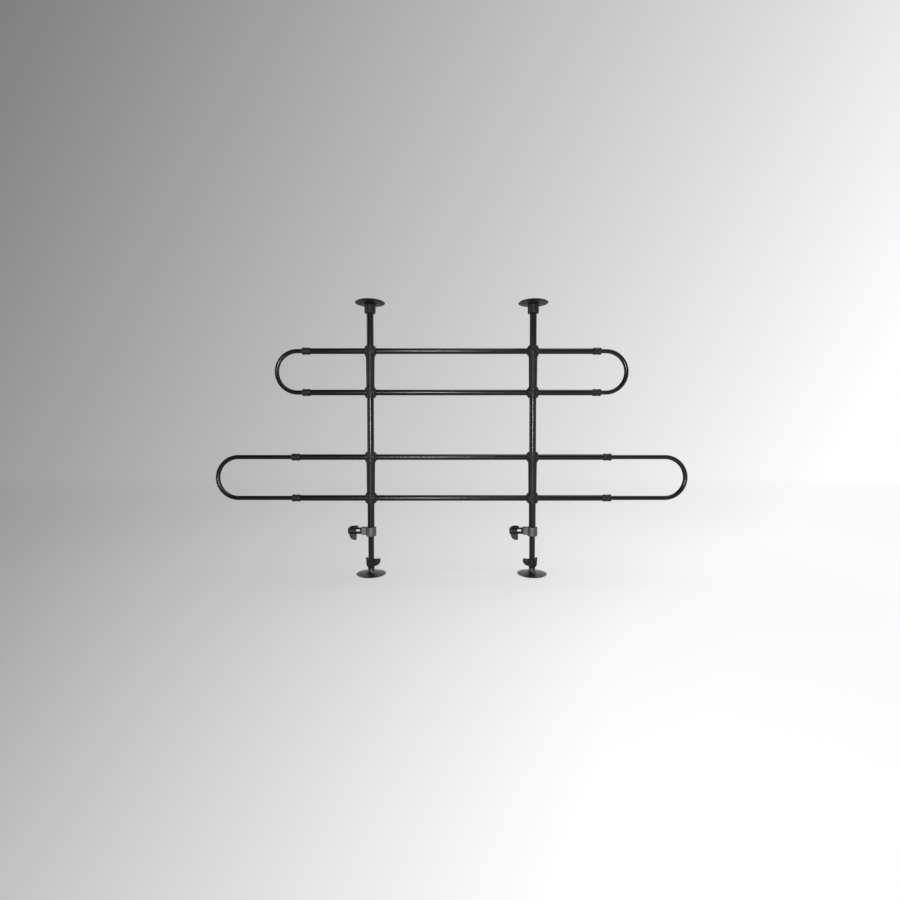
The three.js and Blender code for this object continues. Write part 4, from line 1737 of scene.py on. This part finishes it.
@dataclass
class Studio:
    """A pale floor and backdrop, soft lamps and the camera of the photograph."""

    floor_radius: float = 9.0
    floor_thickness: float = 0.02
    floor_roughness: float = 0.9
    bowl_radius: float = 3.0
    bowl_height: float = 9.0
    bowl_foot: float = 1.0 * MM
    bowl_arc: tuple[float, float] = (-85.0, 0.0)
    bowl_steps: int = 16
    sides: int = 96
    clip: tuple[float, float] = (0.01, 100.0)
    eye: tuple[float, float, float] = (-0.0046, -1.3, 0.3866)
    pitch: float = math.radians(-1.69)
    lens: float = 18.71
    sensor: float = 36.0
    # The painted light falloff across the stage, from its dim side to its bright side
    dim: float = 0.458
    bright: float = 1.0
    dim_slope: float = -1.6
    bright_slope: float = 0.84
    screen_gamma: float = 2.2
    rise_share: float = 0.56
    near_depth: float = 0.25
    # The painted shade of the dark room behind the camera
    room_level: float = 0.5
    room_start: float = -3.0
    room_end: float = 3.0
    room_near: float = 0.8
    lit_share: float = 0.32
    # How much the floor's glow is raised near the middle, as painted light
    painted_light_lift: float = 1.14
    fade_start: float = 0.45
    fade_end: float = 1.5
    world_colour: Colour = Colour(238, 240, 242)
    world_strength: float = 0.22
    lamps: tuple[Softbox, ...] = (
        Softbox("front_box", (-0.16, -2.1, 0.46), (0.0, 0.0, 0.4), 0.36, 0.4, 35.0),
        Softbox("side_box", (-2.6, -0.1, 0.8), (0.0, 0.0, 0.4), 1.0, 1.8, 18.0),
        Softbox("overhead", (0.8, 0.2, 3.2), (0.3, 0.0, 0.0), 2.4, 2.4, 54.0),
    )

    def painted_stage_light(self, sheet: NodeSheet, is_floor: bool) -> Socket:
        """Adds the stage's painted light falloff, dim at the upper left and bright at the lower
        right.

        It follows what the camera sees. The room behind the camera is painted in shade and keeps
        only a share of it.

        Args:
            sheet: The node tree of the floor or the backdrop.
            is_floor: Whether the surface is the floor, whose middle is pale all round.

        Returns:
            The grey value of the painted light and shade.
        """
        maths = sheet.maths
        split = sheet.tree.nodes.new("ShaderNodeSeparateXYZ")
        sheet.join(sheet.place, split.inputs["Vector"])
        ahead = maths("SUBTRACT", split.outputs["Y"], self.eye[1])
        squared = maths("ADD", maths("MULTIPLY", ahead, ahead), self.near_depth ** 2)
        depth = maths("POWER", squared, 0.5)
        height = maths("SUBTRACT", split.outputs["Z"], self.eye[2])
        lowered = maths("MULTIPLY", height, -self.rise_share)
        slope = maths("DIVIDE", maths("ADD", split.outputs["X"], lowered), depth)
        # Painted light falloff: dim at the upper left, bright at the lower right
        screen = sheet.fade(slope, self.dim_slope, self.bright_slope, self.dim, self.bright)
        pale = maths("POWER", screen, self.screen_gamma)
        # Painted shade of the dark room behind the camera
        painted_room_shade = sheet.fade(split.outputs["Y"], self.room_start, self.room_end,
                          1.0 - self.room_level, 0.0)
        if is_floor:
            wall_foot = self.floor_radius - self.bowl_radius
            painted_room_shade = maths("MULTIPLY", painted_room_shade, sheet.fade(sheet.distance(), self.room_near, wall_foot))
        return maths("MULTIPLY", pale, maths("SUBTRACT", 1.0, painted_room_shade))

    def stage_material(self, name: str, is_floor: bool) -> Material:
        """Makes the stage's pale glowing finish, which carries the painted light falloff and room
        shade.

        Args:
            name: The material's name.
            is_floor: Whether the middle of the surface takes light and shadow.

        Returns:
            The material.
        """
        sheet = NodeSheet(name)
        tree = sheet.tree
        painted_stage_light = self.painted_stage_light(sheet, is_floor)
        glow = tree.nodes.new("ShaderNodeEmission")
        output = tree.nodes["Material Output"]
        if not is_floor:
            sheet.join(painted_stage_light, glow.inputs["Color"])
            sheet.join(glow.outputs["Emission"], output.inputs["Surface"])
            return sheet.material
        distance = sheet.distance()
        # Painted light: the glow near the middle is raised to make up for the dimmer lit share
        painted_light_lift = sheet.fade(distance, self.fade_start, self.fade_end, self.painted_light_lift, 1.0)
        painted_lift_glow = sheet.maths("MINIMUM", sheet.maths("MULTIPLY", painted_stage_light, painted_light_lift), 1.0)
        sheet.join(painted_lift_glow, glow.inputs["Color"])
        # The floor's own colour carries the painted light falloff too
        sheet.join(painted_stage_light, sheet.shader.inputs["Base Color"])
        sheet.fix("Roughness", self.floor_roughness)
        sheet.fix("Specular IOR Level", 0.0)
        far = sheet.fade(distance, self.fade_start, self.fade_end, 1.0 - self.lit_share, 1.0)
        path = tree.nodes.new("ShaderNodeLightPath")
        looked_at = path.outputs["Is Camera Ray"]
        for ray in ("Is Glossy Ray", "Is Transmission Ray"):
            looked_at = sheet.maths("MAXIMUM", looked_at, path.outputs[ray])
        mix = tree.nodes.new("ShaderNodeMixShader")
        sheet.join(sheet.maths("MULTIPLY", far, looked_at), mix.inputs["Fac"])
        sheet.join(sheet.shader.outputs["BSDF"], mix.inputs[1])
        sheet.join(glow.outputs["Emission"], mix.inputs[2])
        sheet.join(mix.outputs["Shader"], output.inputs["Surface"])
        return sheet.material

    def lay_floor(self) -> None:
        """Lays the floor disc and stands the backdrop round it."""
        slab = disc(self.floor_radius, -self.floor_thickness, 0.0)
        floor = turned("floor", slab, self.sides)
        floor.data.materials.append(self.stage_material("studio_floor", True))
        wall_foot = self.floor_radius - self.bowl_radius
        wall = turned("backdrop", [
            (wall_foot, self.bowl_foot),
            *round_corner((wall_foot, self.bowl_radius), (self.bowl_radius, self.bowl_radius),
                          *self.bowl_arc, self.bowl_steps),
            (self.floor_radius, self.bowl_height), (0.0, self.bowl_height),
        ], self.sides)
        wall.data.materials.append(self.stage_material("studio_backdrop", False))
        wall.visible_diffuse = False
        wall.visible_shadow = False
        smooth(wall)

    def light_world(self) -> None:
        """Lights the studio evenly from all round."""
        world = bpy.data.worlds.new("studio_world")
        bpy.context.scene.world = world
        world.use_nodes = True
        background = world.node_tree.nodes["Background"]
        background.inputs["Color"].default_value = self.world_colour.rgba
        background.inputs["Strength"].default_value = self.world_strength

    def set_camera(self) -> None:
        """Stands the camera where the photograph was taken from."""
        camera = bpy.data.objects.new("camera", bpy.data.cameras.new("camera"))
        bpy.context.scene.collection.objects.link(camera)
        camera.data.lens = self.lens
        camera.data.sensor_width = self.sensor
        camera.data.clip_start, camera.data.clip_end = self.clip
        camera.location = self.eye
        camera.rotation_euler = Euler((QUARTER_TURN + self.pitch, 0.0, 0.0))
        bpy.context.scene.camera = camera

    def build(self) -> None:
        """Sets up the whole studio."""
        self.set_camera()
        self.lay_floor()
        self.light_world()
        for lamp in self.lamps:
            lamp.hang()
        bpy.context.scene.view_settings.view_transform = "Standard"


def main() -> None:
    """Builds the studio and every sub-assembly in order."""
    logging.basicConfig(level=logging.INFO, format="%(name)s: %(message)s")
    Studio().build()
    finishes = Finishes()
    knob = WingedKnob()
    pad = DishedPad()
    Tubework(finishes).build()
    SlidingLoops(finishes).build()
    EndCollars(finishes).build()
    CrossBrackets(finishes).build()
    HeightClamps(finishes, knob).build()
    ScrewFeet(finishes, pad, knob).build()
    RoofEnds(finishes, pad).build()


if __name__ == "__main__":
    main()
